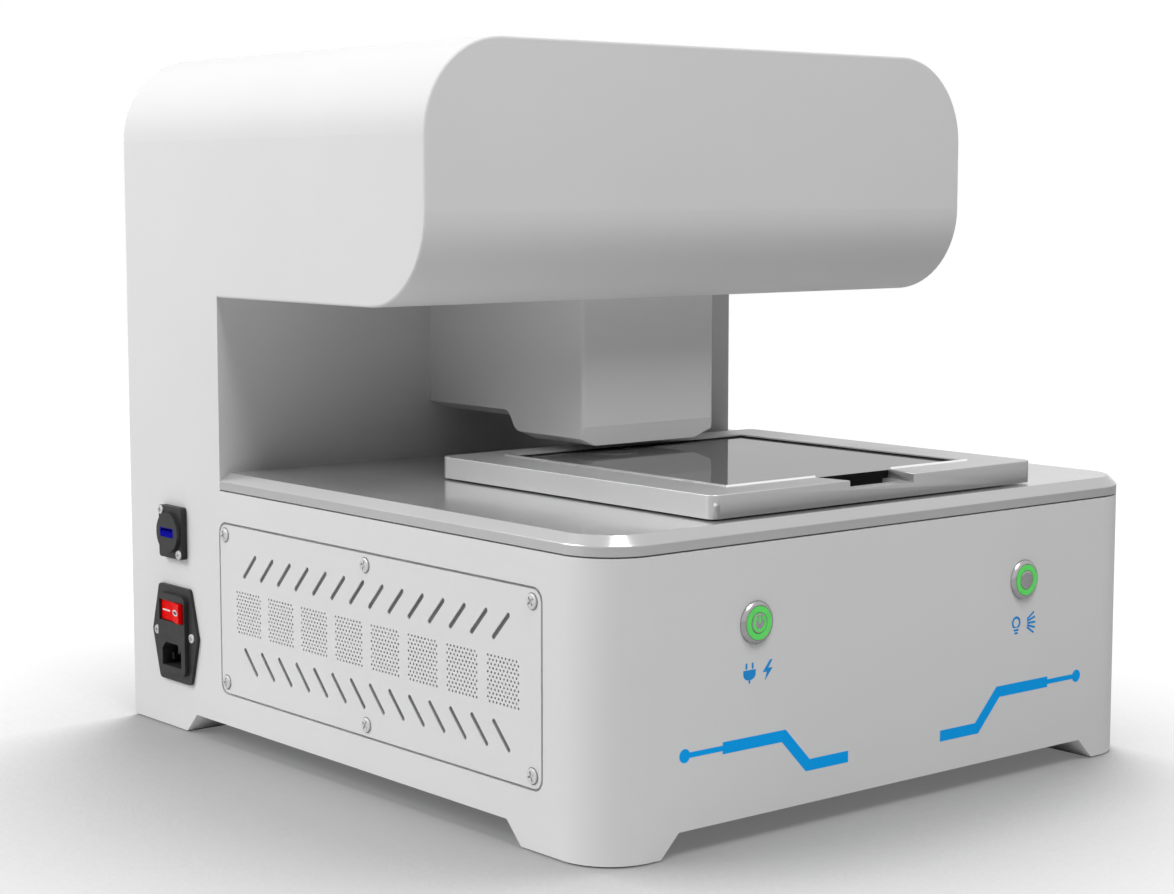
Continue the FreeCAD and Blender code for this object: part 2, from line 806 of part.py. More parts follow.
# Integrating sphere: two blocks with half a faceted sphere each, hung from the optics plate by side lugs
sphere_centre = V(0, port_y, sphere_z)
sphere_top = sphere_z + sphere_half
lamp_z = sphere_z + lamp_rise
detector_axis = V(math.sin(math.radians(detector_tilt)), 0, math.cos(math.radians(detector_tilt)))


def half_sphere(way):
    """Faceted half of the sphere, above the parting line for way 1 and below it for way -1."""
    radius = sphere_bore / 2
    rings = []
    for band in range(sphere_bands + 1):
        rise = band / (sphere_bands + 0.5) * math.pi / 2
        outline = regular(sphere_sides, radius * math.cos(rise))
        rings.append([sphere_centre + V(u, v, way * radius * math.sin(rise)) for u, v in outline])
    facets = [rings[0], rings[-1]]
    for low, high in zip(rings, rings[1:]):
        for side in range(sphere_sides):
            facets.append([low[side - 1], low[side], high[side], high[side - 1]])
    return Part.Solid(Part.Shell([Part.Face(Part.makePolygon(facet + facet[:1])) for facet in facets]))


def lamp_bar(radius, start, end):
    """Many-sided bar along the lamp's axis."""
    outline = moved(regular(lamp_sides, radius), 0, lamp_z)
    return polygon(outline, on_front(start)).extrude(V(0, end - start, 0))


def detector_bar(radius):
    """Many-sided bar out of the sphere's centre along the detector's tilted axis."""
    section = polygon(regular(lamp_sides, radius), on_plan(0))
    section.rotate(V(0, 0, 0), Y_AXIS, detector_tilt)
    section.translate(sphere_centre)
    return section.extrude(detector_axis * (2 * (optics_floor - sphere_z)))


def sphere_block(low, high, lug_low, cavity, ports):
    """Block between two heights with its lugs, its half of the sphere and its ports."""
    body = box(-sphere_half, sphere_half, port_y - sphere_half, sphere_back, low, high)
    lugs = box(-lug_end, lug_end, port_y - sphere_lug_width / 2, port_y + sphere_lug_width / 2, lug_low,
               lug_low + sphere_lug_thickness)
    return joined(body, lugs).cut([cavity] + ports)


sample_port = rod(V(0, port_y, nose_floor), sphere_centre, port_radius)
upper_ports = [detector_bar(detector_port_radius), lamp_bar(lamp_port_radius, port_y, sphere_back)]
save("sphere_lower", sphere_block(nose_floor, sphere_z, sphere_z - sphere_lug_thickness, half_sphere(-1),
                                  [sample_port]))
save("sphere_upper", sphere_block(sphere_z, sphere_top, sphere_z, half_sphere(1), upper_ports))
save("sphere_hangers", *hanger_columns(0))

# Optics plate on the head's floor, with a window over the sphere
plate_front = head_front + head_front_radius
window_half = optics_window / 2
optics_sheet = box(-optics_plate_width / 2, optics_plate_width / 2, plate_front,
                   plate_front + optics_plate_depth, head_floor, optics_floor)
optics_cut = box(-window_half, window_half, port_y - window_half, port_y + window_half, head_floor,
                 optics_floor)
save("optics_plate", optics_sheet.cut(optics_cut))

# Lamp housing with a wider heat sink, flat against the back of the sphere
sink_front = sphere_back + lamp_length / 2
lamp_back = sphere_back + lamp_length
save("lamp_module", joined(lamp_bar(lamp_radius, sphere_back, sink_front),
                           lamp_bar(lamp_sink_radius, sink_front, lamp_back)))

# Detector tube, tilted from the upright, between the sphere and the spectrometer above the window
tube_space = box(-sphere_half, sphere_half, port_y - sphere_half, sphere_back, sphere_top, optics_floor)
save("detector_tube", detector_bar(detector_radius).common(tube_space))
spectrometer_outline = clipped(spectrometer_width / 2, spectrometer_depth / 2, spectrometer_corner)
spectrometer_y = plate_front + spectrometer_depth / 2
spectrometer = polygon(moved(spectrometer_outline, 0, spectrometer_y), on_plan(optics_floor))
save("spectrometer", spectrometer.extrude(V(0, 0, spectrometer_height)))

# Sample tray: frame with a bevelled opening, a ledge for the plate and a finger notch in front
sample_half = sample_side / 2
sample_bottom = tray_top - sample_recess - sample_thickness
rim_front = tray_middle - sample_half


def sample_square(half, z0, z1):
    """Square block about the middle of the tray."""
    return box(-half, half, tray_middle - half, tray_middle + half, z0, z1)


def rim_cut():
    """Bevel round the tray's opening, as a loft between two squares."""
    squares = []
    for half, z in ((sample_half, tray_top - rim_bevel), (sample_half + rim_bevel, tray_top)):
        face = polygon([(-half, -half), (half, -half), (half, half), (-half, half)], on_plan(z))
        face.translate(V(0, tray_middle, 0))
        squares.append(face.OuterWire)
    return Part.makeLoft(squares, True, True)


def sample_tray():
    """Tray body with its recess, bevel and notch, and a heel that closes the gap under the notch."""
    outline = rounded(-tray_width / 2, tray_width / 2, tray_front, tray_back, (tray_corner_radius,) * 4,
                      on_plan(tray_bottom))
    half = notch_width / 2
    wide = half + notch_flare
    well_floor = tray_bottom + tray_floor
    shelf = tray_front + notch_shelf
    notch = polygon([(-half, tray_front), (half, tray_front), (wide, rim_front), (-wide, rim_front)],
                    on_plan(tray_top - notch_depth)).extrude(V(0, 0, notch_depth))
    pocket = box(-half, half, shelf, rim_front + sample_ledge, well_floor, sample_bottom)
    opening = box(-half, half, shelf, rim_front, sample_bottom, tray_top)
    recess = sample_square(sample_half, sample_bottom, tray_top)
    well = sample_square(sample_half - sample_ledge, well_floor, sample_bottom)
    heel_front = tray_front + heel_inset
    heel = box(-heel_width / 2, heel_width / 2, heel_front, heel_front + heel_depth, deck_top + moving_gap,
               tray_bottom)
    body = joined(outline.extrude(V(0, 0, tray_thickness)), heel)
    return body.cut([rim_cut(), recess, well, notch, pocket, opening])


save("sample_tray", sample_tray())
save("sample_plate", sample_square(sample_half - cover_gap, sample_bottom, sample_bottom + sample_thickness))

# Slide: grooved rails under the worktop guide a carriage that holds the tray on posts through the slots
carriage_top = deck_bottom - bearing_drop
carriage_bottom = carriage_top - carriage_thickness
carriage_front = tray_middle - carriage_length / 2
carriage_back = tray_middle + carriage_length / 2
carriage_half = rail_spread + bearing_width / 2
rails_front = carriage_front - rail_end_margin
rails_back = carriage_back + tray_travel + rail_end_margin


def rail_points(grow, low):
    """Grooved rail section hanging from the worktop, grown for the channel that runs on it."""
    half = rail_width / 2 + grow
    waist = half - rail_groove
    groove = rail_height / 4
    heights = [0, -groove, -2 * groove, -3 * groove, low]
    halves = [half, half, waist, half, half]
    side = list(zip(halves, heights))
    return side + [(-u, v) for u, v in reversed(side)]


def slide_rail(x):
    """One rail along the travel."""
    section = polygon(moved(rail_points(0, -rail_height), x, deck_bottom), on_front(rails_front))
    return section.extrude(V(0, rails_back - rails_front, 0))


def slide_bearing(x, y):
    """Bearing block that wraps the rail from below."""
    block = box(x - bearing_width / 2, x + bearing_width / 2, y, y + bearing_length, carriage_top,
                deck_bottom - bearing_top_gap)
    channel = rail_points(moving_gap, -rail_height - moving_gap)
    return block.cut(polygon(moved(channel, x, deck_bottom), on_front(y)).extrude(V(0, bearing_length, 0)))


rail_places = (-rail_spread, rail_spread)
save("slide_rails", *[slide_rail(x) for x in rail_places])
save("slide_bearings", *[slide_bearing(x, y) for x in rail_places
                         for y in (carriage_front, carriage_back - bearing_length)])
save("stage_carriage", box(-carriage_half, carriage_half, carriage_front, carriage_back, carriage_bottom,
                           carriage_top))
save("tray_posts", *[box(x - post_width / 2, x + post_width / 2, tray_middle - post_length / 2,
                         tray_middle + post_length / 2, carriage_top, tray_bottom)
                     for x in (-post_spread, post_spread)])

# Drive: a lead screw out of the motor, through the carriage's nut, to a bearing at the front
screw_z = carriage_bottom - screw_drop
block_half = screw_radius + screw_block_wall
motor_face = rails_back + rail_end_margin + motor_plate
motor_half = motor_side / 2
bearing_front = rails_front - end_bearing_length
screw_front = V(0, bearing_front, screw_z)
screw_back = V(0, motor_face + motor_screw_depth, screw_z)
screw_space = rod(screw_front, screw_back, screw_radius + shaft_gap)
nut_front = tray_middle - lead_nut_length / 2
lead_nut = box(-block_half, block_half, nut_front, nut_front + lead_nut_length, screw_z - block_half,
               carriage_bottom)
end_bearing = box(-block_half, block_half, bearing_front, rails_front, screw_z - block_half, deck_bottom)
bracket_hole = rod(screw_front, screw_back, screw_radius + cover_gap)
motor_bracket = box(-motor_half, motor_half, motor_face - motor_plate, motor_face, screw_z - motor_half,
                    deck_bottom)
motor_outline = moved(clipped(motor_half, motor_half, motor_corner), 0, screw_z)
motor_body = polygon(motor_outline, on_front(motor_face)).extrude(V(0, motor_length, 0))
save("lead_screw", rod(screw_front, screw_back, screw_radius))
save("lead_nut", lead_nut.cut(screw_space))
save("screw_bearing", end_bearing.cut(screw_space))
save("motor_bracket", motor_bracket.cut(bracket_hole))
save("stage_motor", motor_body.cut(screw_space))

# Power supply: sheet case with a lower terminal strip at the back end
supply_left = inner_left + supply_from_left
supply_back = back - supply_from_back
supply_front = supply_back - supply_length
terminal_front = supply_back - supply_terminal
terminal_top = pan_top + supply_height - supply_step
supply_top = pan_top + supply_height
supply_profile = [(supply_front, pan_top), (supply_back, pan_top), (supply_back, terminal_top),
                  (terminal_front, terminal_top), (terminal_front, supply_top), (supply_front, supply_top)]
save("power_supply", polygon(supply_profile, on_side(supply_left)).extrude(V(supply_width, 0, 0)))

# Control board on four standoffs, with a processor and a row of connectors
board_right = inner_right - board_from_right
board_left = board_right - board_width
board_front = front + board_from_front
board_back = board_front + board_length
board_bottom = pan_top + standoff_height
board_top = board_bottom + board_thickness
chip_x = (board_left + board_right - chip_side) / 2
chip_y = (board_front + board_back - chip_side) / 2
board = joined(box(board_left, board_right, board_front, board_back, board_bottom, board_top),
               box(chip_x, chip_x + chip_side, chip_y, chip_y + chip_side, board_top, board_top + chip_height),
               box(board_left + 2 * standoff_inset, board_right - 2 * standoff_inset,
                   board_back - connector_width, board_back, board_top, board_top + connector_height))
standoff_places = [(x, y) for x in (board_left + standoff_inset, board_right - standoff_inset)
                   for y in (board_front + standoff_inset, board_back - standoff_inset)]
save("control_board", board)
save("board_standoffs", *[polygon(moved(hexagon(standoff_flats), x, y), on_plan(pan_top))
                          .extrude(V(0, 0, standoff_height)) for x, y in standoff_places])
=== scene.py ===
import json
import math

import bmesh
import bpy
from mathutils import Matrix, Vector
from mathutils.geometry import delaunay_2d_cdt


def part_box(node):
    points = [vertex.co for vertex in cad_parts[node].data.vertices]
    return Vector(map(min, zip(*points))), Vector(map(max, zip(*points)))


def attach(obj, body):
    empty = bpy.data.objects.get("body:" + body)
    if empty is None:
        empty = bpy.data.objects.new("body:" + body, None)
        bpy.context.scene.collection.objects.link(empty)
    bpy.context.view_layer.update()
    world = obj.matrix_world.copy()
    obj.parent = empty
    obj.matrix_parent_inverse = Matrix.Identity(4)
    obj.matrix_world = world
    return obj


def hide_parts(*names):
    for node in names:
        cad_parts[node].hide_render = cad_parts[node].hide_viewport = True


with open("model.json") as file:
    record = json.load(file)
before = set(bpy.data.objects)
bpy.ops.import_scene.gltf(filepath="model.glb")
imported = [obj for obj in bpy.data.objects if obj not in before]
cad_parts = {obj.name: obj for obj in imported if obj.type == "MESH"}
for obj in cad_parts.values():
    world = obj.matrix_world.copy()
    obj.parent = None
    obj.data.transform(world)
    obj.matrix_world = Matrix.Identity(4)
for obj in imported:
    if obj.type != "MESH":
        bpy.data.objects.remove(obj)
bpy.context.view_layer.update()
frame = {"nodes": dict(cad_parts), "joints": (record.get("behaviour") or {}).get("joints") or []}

# Housings: base tub with feet, and the column with its overhanging head.
# Folded and welded steel sheet, sprayed with a satin white powder coat that leaves a faint orange peel.
# The rear edges are lipped for the rear cover; nose and vent panel carry the same coat.


def node_group(name, inputs, outputs):
    """Empty shader group with named sockets, and its input and output nodes."""
    tree = bpy.data.node_groups.new(name, "ShaderNodeTree")
    for label, kind, value in inputs:
        tree.interface.new_socket(label, in_out="INPUT", socket_type=kind).default_value = value
    for label, kind in outputs:
        tree.interface.new_socket(label, in_out="OUTPUT", socket_type=kind)
    return tree, tree.nodes.new("NodeGroupInput"), tree.nodes.new("NodeGroupOutput")


def surface_skin_group():
    """Uneven tone, uneven gloss and a fine grain, which every coated or moulded surface has."""
    number, colour = "NodeSocketFloat", "NodeSocketColor"
    white = (1, 1, 1, 1)
    tree, given, result = node_group(
        "surface_skin",
        [("Light tone", colour, white), ("Dark tone", colour, white), ("Patch size", number, 8),
         ("Grain size", number, 900), ("Gloss low", number, 0.4), ("Gloss high", number, 0.5)],
        [("Colour", colour), ("Roughness", number), ("Height", number)])
    place = tree.nodes.new("ShaderNodeTexCoord")
    patches = tree.nodes.new("ShaderNodeTexNoise")
    grain = tree.nodes.new("ShaderNodeTexNoise")
    smears = tree.nodes.new("ShaderNodeTexNoise")
    spread = tree.nodes.new("ShaderNodeMapRange")
    tone = tree.nodes.new("ShaderNodeMix")
    gloss = tree.nodes.new("ShaderNodeMapRange")
    finer = tree.nodes.new("ShaderNodeMath")
    smears_per_patch = 3.7
    finer.operation = "MULTIPLY"
    finer.inputs[1].default_value = smears_per_patch
    tone.data_type = "RGBA"
    link = tree.links.new
    for noise, detail in ((patches, 4), (grain, 3), (smears, 5)):
        noise.inputs["Detail"].default_value = detail
        link(place.outputs["Object"], noise.inputs["Vector"])
    noise_low, noise_high = 0.32, 0.68
    for ramp in (spread, gloss):
        ramp.inputs["From Min"].default_value = noise_low
        ramp.inputs["From Max"].default_value = noise_high
    link(given.outputs["Patch size"], patches.inputs["Scale"])
    link(given.outputs["Patch size"], finer.inputs[0])
    link(finer.outputs[0], smears.inputs["Scale"])
    link(given.outputs["Grain size"], grain.inputs["Scale"])
    link(patches.outputs["Fac"], spread.inputs["Value"])
    link(spread.outputs["Result"], tone.inputs["Factor"])
    link(given.outputs["Dark tone"], tone.inputs["A"])
    link(given.outputs["Light tone"], tone.inputs["B"])
    link(smears.outputs["Fac"], gloss.inputs["Value"])
    link(given.outputs["Gloss low"], gloss.inputs["To Min"])
    link(given.outputs["Gloss high"], gloss.inputs["To Max"])
    link(tone.outputs["Result"], result.inputs["Colour"])
    link(gloss.outputs["Result"], result.inputs["Roughness"])
    link(grain.outputs["Fac"], result.inputs["Height"])
    return tree


surface_skin = surface_skin_group()


def skin_material(name, light, dark, patch, grain, gloss, grain_depth, **shader):
    """Finish with the shared skin: two tones, patches and grains per metre, and its own shader values."""
    material = bpy.data.materials.new(name)
    material.use_nodes = True
    tree = material.node_tree
    paint = tree.nodes["Principled BSDF"]
    skin = tree.nodes.new("ShaderNodeGroup")
    skin.node_tree = surface_skin
    skin.inputs["Light tone"].default_value = (*light, 1)
    skin.inputs["Dark tone"].default_value = (*dark, 1)
    skin.inputs["Patch size"].default_value = patch
    skin.inputs["Grain size"].default_value = grain
    skin.inputs["Gloss low"].default_value, skin.inputs["Gloss high"].default_value = gloss
    bump = tree.nodes.new("ShaderNodeBump")
    bump.inputs["Distance"].default_value = grain_depth
    tree.links.new(skin.outputs["Colour"], paint.inputs["Base Color"])
    tree.links.new(skin.outputs["Roughness"], paint.inputs["Roughness"])
    tree.links.new(skin.outputs["Height"], bump.inputs["Height"])
    tree.links.new(bump.outputs["Normal"], paint.inputs["Normal"])
    for label, value in shader.items():
        paint.inputs[label.replace("_", " ").title().replace("Ior", "IOR")].default_value = value
    return material


def grey(level):
    """Neutral colour."""
    return (level, level, level)


def dress(material, *names):
    """Gives CAD nodes their finish."""
    for name in names:
        node = frame["nodes"][name]
        for slot in node.material_slots:
            slot.material = material


white_paint = skin_material(
    "white_powder_coat", light=grey(0.735), dark=(0.71, 0.71, 0.712), patch=5, grain=1100,
    gloss=(0.36, 0.46), grain_depth=0.00002, specular_ior_level=0.22)
dress(white_paint, "base_housing", "arm_housing")

# Rubber: a pad under each corner foot, and the gasket under the worktop that shows as a dark line; the
# gasket's dark grey is also painted shade, standing in for the shade in the gap under the worktop.
# Die-cut sheet rubber, black under the feet and dark grey under the worktop.
# The pads are glued to the feet, and the gasket is clamped between base and worktop.
rubber = skin_material(
    "black_rubber", light=grey(0.035), dark=grey(0.022), patch=30, grain=2500,
    gloss=(0.7, 0.85), grain_depth=0.00005)
dress(rubber, "foot_pads")
# The gasket's dark grey is partly its own colour and partly painted shade for the gap under the worktop.
gasket_rubber_painted_shade = skin_material(
    "grey_gasket_rubber_painted_shade", light=grey(0.13), dark=grey(0.10), patch=30, grain=2500,
    gloss=(0.7, 0.85), grain_depth=0.00005)
dress(gasket_rubber_painted_shade, "deck_gasket")

# Vent panel: a loose sheet in the left side, flush with the wall, with slanted slots and fine perforation.
# Laser-cut steel with the housings' white coat, held by six pan-head screws; a dark grey dust filter lies
# behind it, and its dark grey is also painted shade, standing in for the shade seen through the holes.
MM = 0.001  # the sizes of the pieces are in millimetres


def flat_faces(shape, loops, place):
    """Faces between flat loops: loops side by side are islands, and a loop inside another is a hole."""
    points, outlines = [], []
    for loop in loops:
        turning = sum(u0 * v1 - u1 * v0 for (u0, v0), (u1, v1) in zip(loop, loop[1:] + loop[:1]))
        outlines.append(list(range(len(points), len(points) + len(loop))))
        points += [Vector(point) for point in (loop if turning > 0 else reversed(loop))]
    inside_only, tolerance = 1, 1e-6
    corners, _, faces, _, _, covers = delaunay_2d_cdt(points, [], outlines, inside_only, tolerance)
    spots = [shape.verts.new(place(u, v)) for u, v in corners]
    for face, cover in zip(faces, covers):
        if len(cover) % 2:
            shape.faces.new([spots[i] for i in face])
    bmesh.ops.delete(shape, geom=[spot for spot in spots if not spot.link_faces], context="VERTS")


def looped_sheet(loops, place, depth):
    """Closed sheet of an even depth from flat loops."""
    shape = bmesh.new()
    flat_faces(shape, loops, place)
    grown = bmesh.ops.extrude_face_region(shape, geom=shape.faces[:])
    raised = [part for part in grown["geom"] if isinstance(part, bmesh.types.BMVert)]
    bmesh.ops.translate(shape, verts=raised, vec=depth)
    bmesh.ops.recalc_face_normals(shape, faces=shape.faces[:])
    return shape


def add_mesh(name, mesh, material, body, smooth_angle=30, place=Matrix()):
    """Puts a finished mesh into the scene as a piece on its body."""
    mesh.shade_smooth()
    mesh.set_sharp_from_angle(angle=math.radians(smooth_angle))
    mesh.materials.clear()
    mesh.materials.append(material)
    piece = bpy.data.objects.new(name, mesh)
    bpy.context.scene.collection.objects.link(piece)
    piece.matrix_world = place
    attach(piece, body)
    return piece


def mesh_of(name, shape):
    """Plain mesh from a mesh under construction."""
    mesh = bpy.data.meshes.new(name)
    shape.to_mesh(mesh)
    shape.free()
    return mesh


def add_piece(name, shape, material, body, smooth_angle=30):
    """Turns a mesh under construction into a piece of the object on its body."""
    return add_mesh(name, mesh_of(name, shape), material, body, smooth_angle)


def ring_of(u, v, radius, sides):
    """Flat loop of points round a centre."""
    turns = [2 * math.pi * i / sides for i in range(sides)]
    return [(u + radius * math.cos(turn), v + radius * math.sin(turn)) for turn in turns]


def round_corners(u0, u1, v0, v1, radius, steps=8):
    """Flat loop of a rectangle with round corners."""
    loop = []
    centres = ((u1 - radius, v1 - radius), (u0 + radius, v1 - radius), (u0 + radius, v0 + radius),
               (u1 - radius, v0 + radius))
    for quarter, (u, v) in enumerate(centres):
        for i in range(steps + 1):
            turn = math.radians(90 * quarter + 90 * i / steps)
            loop.append((u + radius * math.cos(turn), v + radius * math.sin(turn)))
    return loop


def capsule(u, v, length, width, lean, steps=6):
    """Flat loop of a slot with round ends, leaning by an angle."""
    radius = width / 2
    loop = []
    for end in (1, -1):
        for i in range(steps + 1):
            turn = math.radians(180 * i / steps - 90) + (0 if end > 0 else math.pi)
            along = end * (length / 2 - radius) + radius * math.cos(turn)
            across = radius * math.sin(turn)
            loop.append((u + along * math.cos(lean) - across * math.sin(lean),
                         v + along * math.sin(lean) + across * math.cos(lean)))
    return loop


def spaced(count, pitch):
    """Even places to both sides of a middle."""
    return [(number - (count - 1) / 2) * pitch for number in range(count)]


def on_side(x):
    """Places flat (y, z) points on an upright plane at an x in metres, like the left side."""
    return lambda y, z: (x, y * MM, z * MM)


vent_low, vent_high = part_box("vent_panel")
vent_y = (vent_low.y + vent_high.y) / 2 / MM
vent_z = (vent_low.z + vent_high.z) / 2 / MM


def vent_outline(inset, corner):
    """Flat loop of the vent panel's opening, drawn in by an inset."""
    return round_corners(vent_low.y / MM + inset, vent_high.y / MM - inset,
                         vent_low.z / MM + inset, vent_high.z / MM - inset, corner)


vent_trim, vent_corner, sheet_thickness = 0.35, 6.0, 0.8
slot_length, slot_width, slot_lean = 20.0, 2.7, math.radians(46.0)
slot_count, slot_pitch, slot_row_out = 14, 18.0, 27.4
dot_radius, dot_sides, dot_along, dot_up = 0.74, 8, 2.9, 2.1
dot_columns, dot_rows, dot_blocks, block_pitch = 9, 12, 8, 33.9
vent_loops = [vent_outline(vent_trim, vent_corner)]
for along in spaced(slot_count, slot_pitch):
    vent_loops.append(capsule(vent_y + along, vent_z + slot_row_out, slot_length, slot_width, -slot_lean))
    vent_loops.append(capsule(vent_y + along, vent_z - slot_row_out, slot_length, slot_width, slot_lean))
for block in spaced(dot_blocks, block_pitch):
    for column in spaced(dot_columns, dot_along):
        for row, up in enumerate(spaced(dot_rows, dot_up)):
            stagger = dot_along / 4 if row % 2 else -dot_along / 4
            along = vent_y + block + column + stagger
            vent_loops.append(ring_of(along, vent_z + up, dot_radius, dot_sides))
vent_sheet = looped_sheet(vent_loops, on_side(vent_low.x), (sheet_thickness * MM, 0, 0))
vent_panel = add_piece("vent_panel_perforated", vent_sheet, white_paint, "housing")
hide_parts("vent_panel")

shade_filter_margin, shade_filter_corner, shade_filter_thickness = 13.0, 2.0, 1.2
# The filter's dark grey is painted shade: it darkens the holes as the shade behind them would.
dust_filter_painted_shade = skin_material(
    "dust_filter_painted_shade", light=(0.17, 0.17, 0.173), dark=(0.12, 0.12, 0.123), patch=60, grain=2600,
    gloss=(0.8, 0.95), grain_depth=0.0003)
shade_filter_sheet = looped_sheet([vent_outline(shade_filter_margin, shade_filter_corner)],
                            on_side(vent_low.x + sheet_thickness * MM), (shade_filter_thickness * MM, 0, 0))
add_piece("vent_filter_painted_shade", shade_filter_sheet, dust_filter_painted_shade, "housing")

# Pan-head screws of the vent panel, the mains inlet and the data socket.
# Zinc-plated steel with a cross recess, each head seated on the flange or sheet that it holds.
# The vent panel's screws have a grey fibre washer under the head; its dark grey is also painted shade,
# standing in for the shade round the head's edge.


def turned_shape(profile, sides=48):
    """Closed turned shape about the Z axis from (radius, height) points."""
    shape = bmesh.new()
    rows = []
    for radius, height in profile:
        if radius == 0:
            rows.append([shape.verts.new((0, 0, height))] * sides)
        else:
            rows.append([shape.verts.new((u, v, height)) for u, v in ring_of(0, 0, radius, sides)])
    for low, high in zip(rows, rows[1:]):
        for i in range(sides):
            corners = []
            for spot in (low[i], low[i - 1], high[i - 1], high[i]):
                if spot not in corners:
                    corners.append(spot)
            shape.faces.new(corners)
    bmesh.ops.recalc_face_normals(shape, faces=shape.faces[:])
    return shape


def screw_mesh(name, radius, rise):
    """Pan head with a cross recess, standing on the XY plane."""
    dome = [(0, 0), (1, 0), (1, 0.55), (0.985, 0.72), (0.94, 0.86), (0.84, 0.94), (0.5, 0.99), (0, 1)]
    arm, thin, foot = 0.66 * radius, 0.13 * radius, 0.2 * rise
    cross_loop = [(arm, -thin), (arm, thin), (thin, thin), (thin, arm), (-thin, arm), (-thin, thin),
                  (-arm, thin), (-arm, -thin), (-thin, -thin), (-thin, -arm), (thin, -arm), (thin, -thin)]
    head_shape = turned_shape([(radius * r * MM, rise * h * MM) for r, h in dome])
    cross_shape = looped_sheet([cross_loop], lambda u, v: (u * MM, v * MM, foot * MM), (0, 0, rise * MM))
    head = bpy.data.objects.new(name, mesh_of(name, head_shape))
    cross = bpy.data.objects.new(name + "_cross", mesh_of(name + "_cross", cross_shape))
    for part in (head, cross):
        bpy.context.scene.collection.objects.link(part)
    cut = head.modifiers.new("recess", "BOOLEAN")
    cut.object = cross
    cut.solver = "EXACT"
    mesh = bpy.data.meshes.new_from_object(head.evaluated_get(bpy.context.evaluated_depsgraph_get()))
    for part in (head, cross):
        bpy.data.objects.remove(part)
    mesh.name = name
    return mesh


def washer_mesh(name, radius, rise):
    """Flat fibre washer with a soft outer edge, standing on the XY plane."""
    edge = [(0.4, 0), (0.97, 0), (1, 0.3), (1, 0.7), (0.97, 1), (0.4, 1), (0.4, 0)]
    return mesh_of(name, turned_shape([(radius * r * MM, rise * h * MM) for r, h in edge]))


def add_screw(name, mesh, material, seat, outward, turn):
    """Screw head on its seat, with its recess turned as the screwdriver left it."""
    aim = Vector((0, 0, 1)).rotation_difference(Vector(outward)).to_matrix().to_4x4()
    place = Matrix.Translation(Vector(seat) * MM) @ aim @ Matrix.Rotation(turn, 4, "Z")
    add_mesh(name, mesh, material, "housing", place=place)


screw_zinc = skin_material(
    "zinc_plated_steel", light=grey(0.66), dark=(0.58, 0.58, 0.585), patch=120, grain=3000,
    gloss=(0.3, 0.45), grain_depth=0.00001, metallic=0.35)
# The washer's dark grey is partly its own colour and partly painted shade round the screw head.
washer_grey_painted_shade = skin_material(
    "fibre_washer_painted_shade", light=grey(0.22), dark=grey(0.17), patch=120, grain=3000,
    gloss=(0.7, 0.9), grain_depth=0.00003)
washer_rise = 0.25
vent_washer = washer_mesh("vent_washer_ring", radius=4.35, rise=washer_rise)
vent_screw = screw_mesh("vent_screw_head", radius=3.9, rise=0.9)
socket_screw = screw_mesh("socket_screw_head", radius=2.7, rise=1.0)
left_side = (-1, 0, 0)
vent_face = vent_low.x / MM
screw_rows, screw_columns = (124.2, 38.1), (114.0, -28.6, -171.4)
first_turn, turn_by_row, turn_by_column = 0.4, 1.3, 0.9
for row, z in enumerate(screw_rows):
    for column, y in enumerate(screw_columns):
        turn = first_turn + turn_by_row * row + turn_by_column * column
        add_screw(f"vent_washer_{row}_{column}", vent_washer, washer_grey_painted_shade, (vent_face, y, z), left_side, 0)
        add_screw(f"vent_screw_{row}_{column}", vent_screw, screw_zinc, (vent_face - washer_rise, y, z),
                  left_side, turn)

inlet_low, inlet_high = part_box("mains_inlet")
inlet_y = (inlet_low.y + inlet_high.y) / 2 / MM
inlet_face, inlet_screw_out, inlet_screw_z, inlet_screw_turn = -202.0, 20.2, 58.4, 0.5
for side in (-1, 1):
    seat = (inlet_face, inlet_y + side * inlet_screw_out, inlet_screw_z)
    turn = inlet_screw_turn + side
    add_screw(f"inlet_screw_{side + 1}", socket_screw, screw_zinc, seat, left_side, turn)
socket_face, socket_z, socket_screw_turn = -204.0, 119.8, 0.9
socket_screw_out, socket_screw_up = 10.2, 12.6
for side in (-1, 1):
    seat = (socket_face, inlet_y + side * socket_screw_out, socket_z + side * socket_screw_up)
    turn = socket_screw_turn - side
    add_screw(f"socket_screw_{side + 1}", socket_screw, screw_zinc, seat, left_side, turn)

# Mains inlet and data socket: moulded connectors in the left side, at the back.
# Dark grey glass-filled plastic with a spark-eroded grain; brass blades and a blue socket insert.
dark_plastic = skin_material(
    "dark_grey_plastic", light=(0.028, 0.028, 0.029), dark=(0.021, 0.021, 0.022), patch=40, grain=4200,
    gloss=(0.38, 0.5), grain_depth=0.00004, specular_ior_level=0.28)
dress(dark_plastic, "mains_inlet", "data_socket")
brass = skin_material(
    "dull_brass", light=(0.10, 0.095, 0.08), dark=(0.07, 0.065, 0.05), patch=90, grain=3000,
    gloss=(0.35, 0.5), grain_depth=0.00001, metallic=1.0)
dress(brass, "inlet_pins")
blue_plastic = skin_material(
    "blue_insert_plastic", light=(0.0, 0.0, 0.31), dark=(0.0, 0.0, 0.26), patch=150, grain=4000,
    gloss=(0.3, 0.42), grain_depth=0.00002, specular_ior_level=0.02)
dress(blue_plastic, "data_socket_insert")
insert_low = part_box("data_socket_insert")[0]
tongue_length, tongue_height, tongue_corner = 12.0, 1.8, 0.3
tongue_inset, tongue_depth = 0.3, 4.0
tongue_loop = round_corners(inlet_y - tongue_length / 2, inlet_y + tongue_length / 2,
                            socket_z - tongue_height / 2, socket_z + tongue_height / 2,
                            tongue_corner, steps=3)
tongue = looped_sheet([tongue_loop], on_side(insert_low.x + tongue_inset * MM), (tongue_depth * MM, 0, 0))
add_piece("data_socket_tongue", tongue, blue_plastic, "housing")

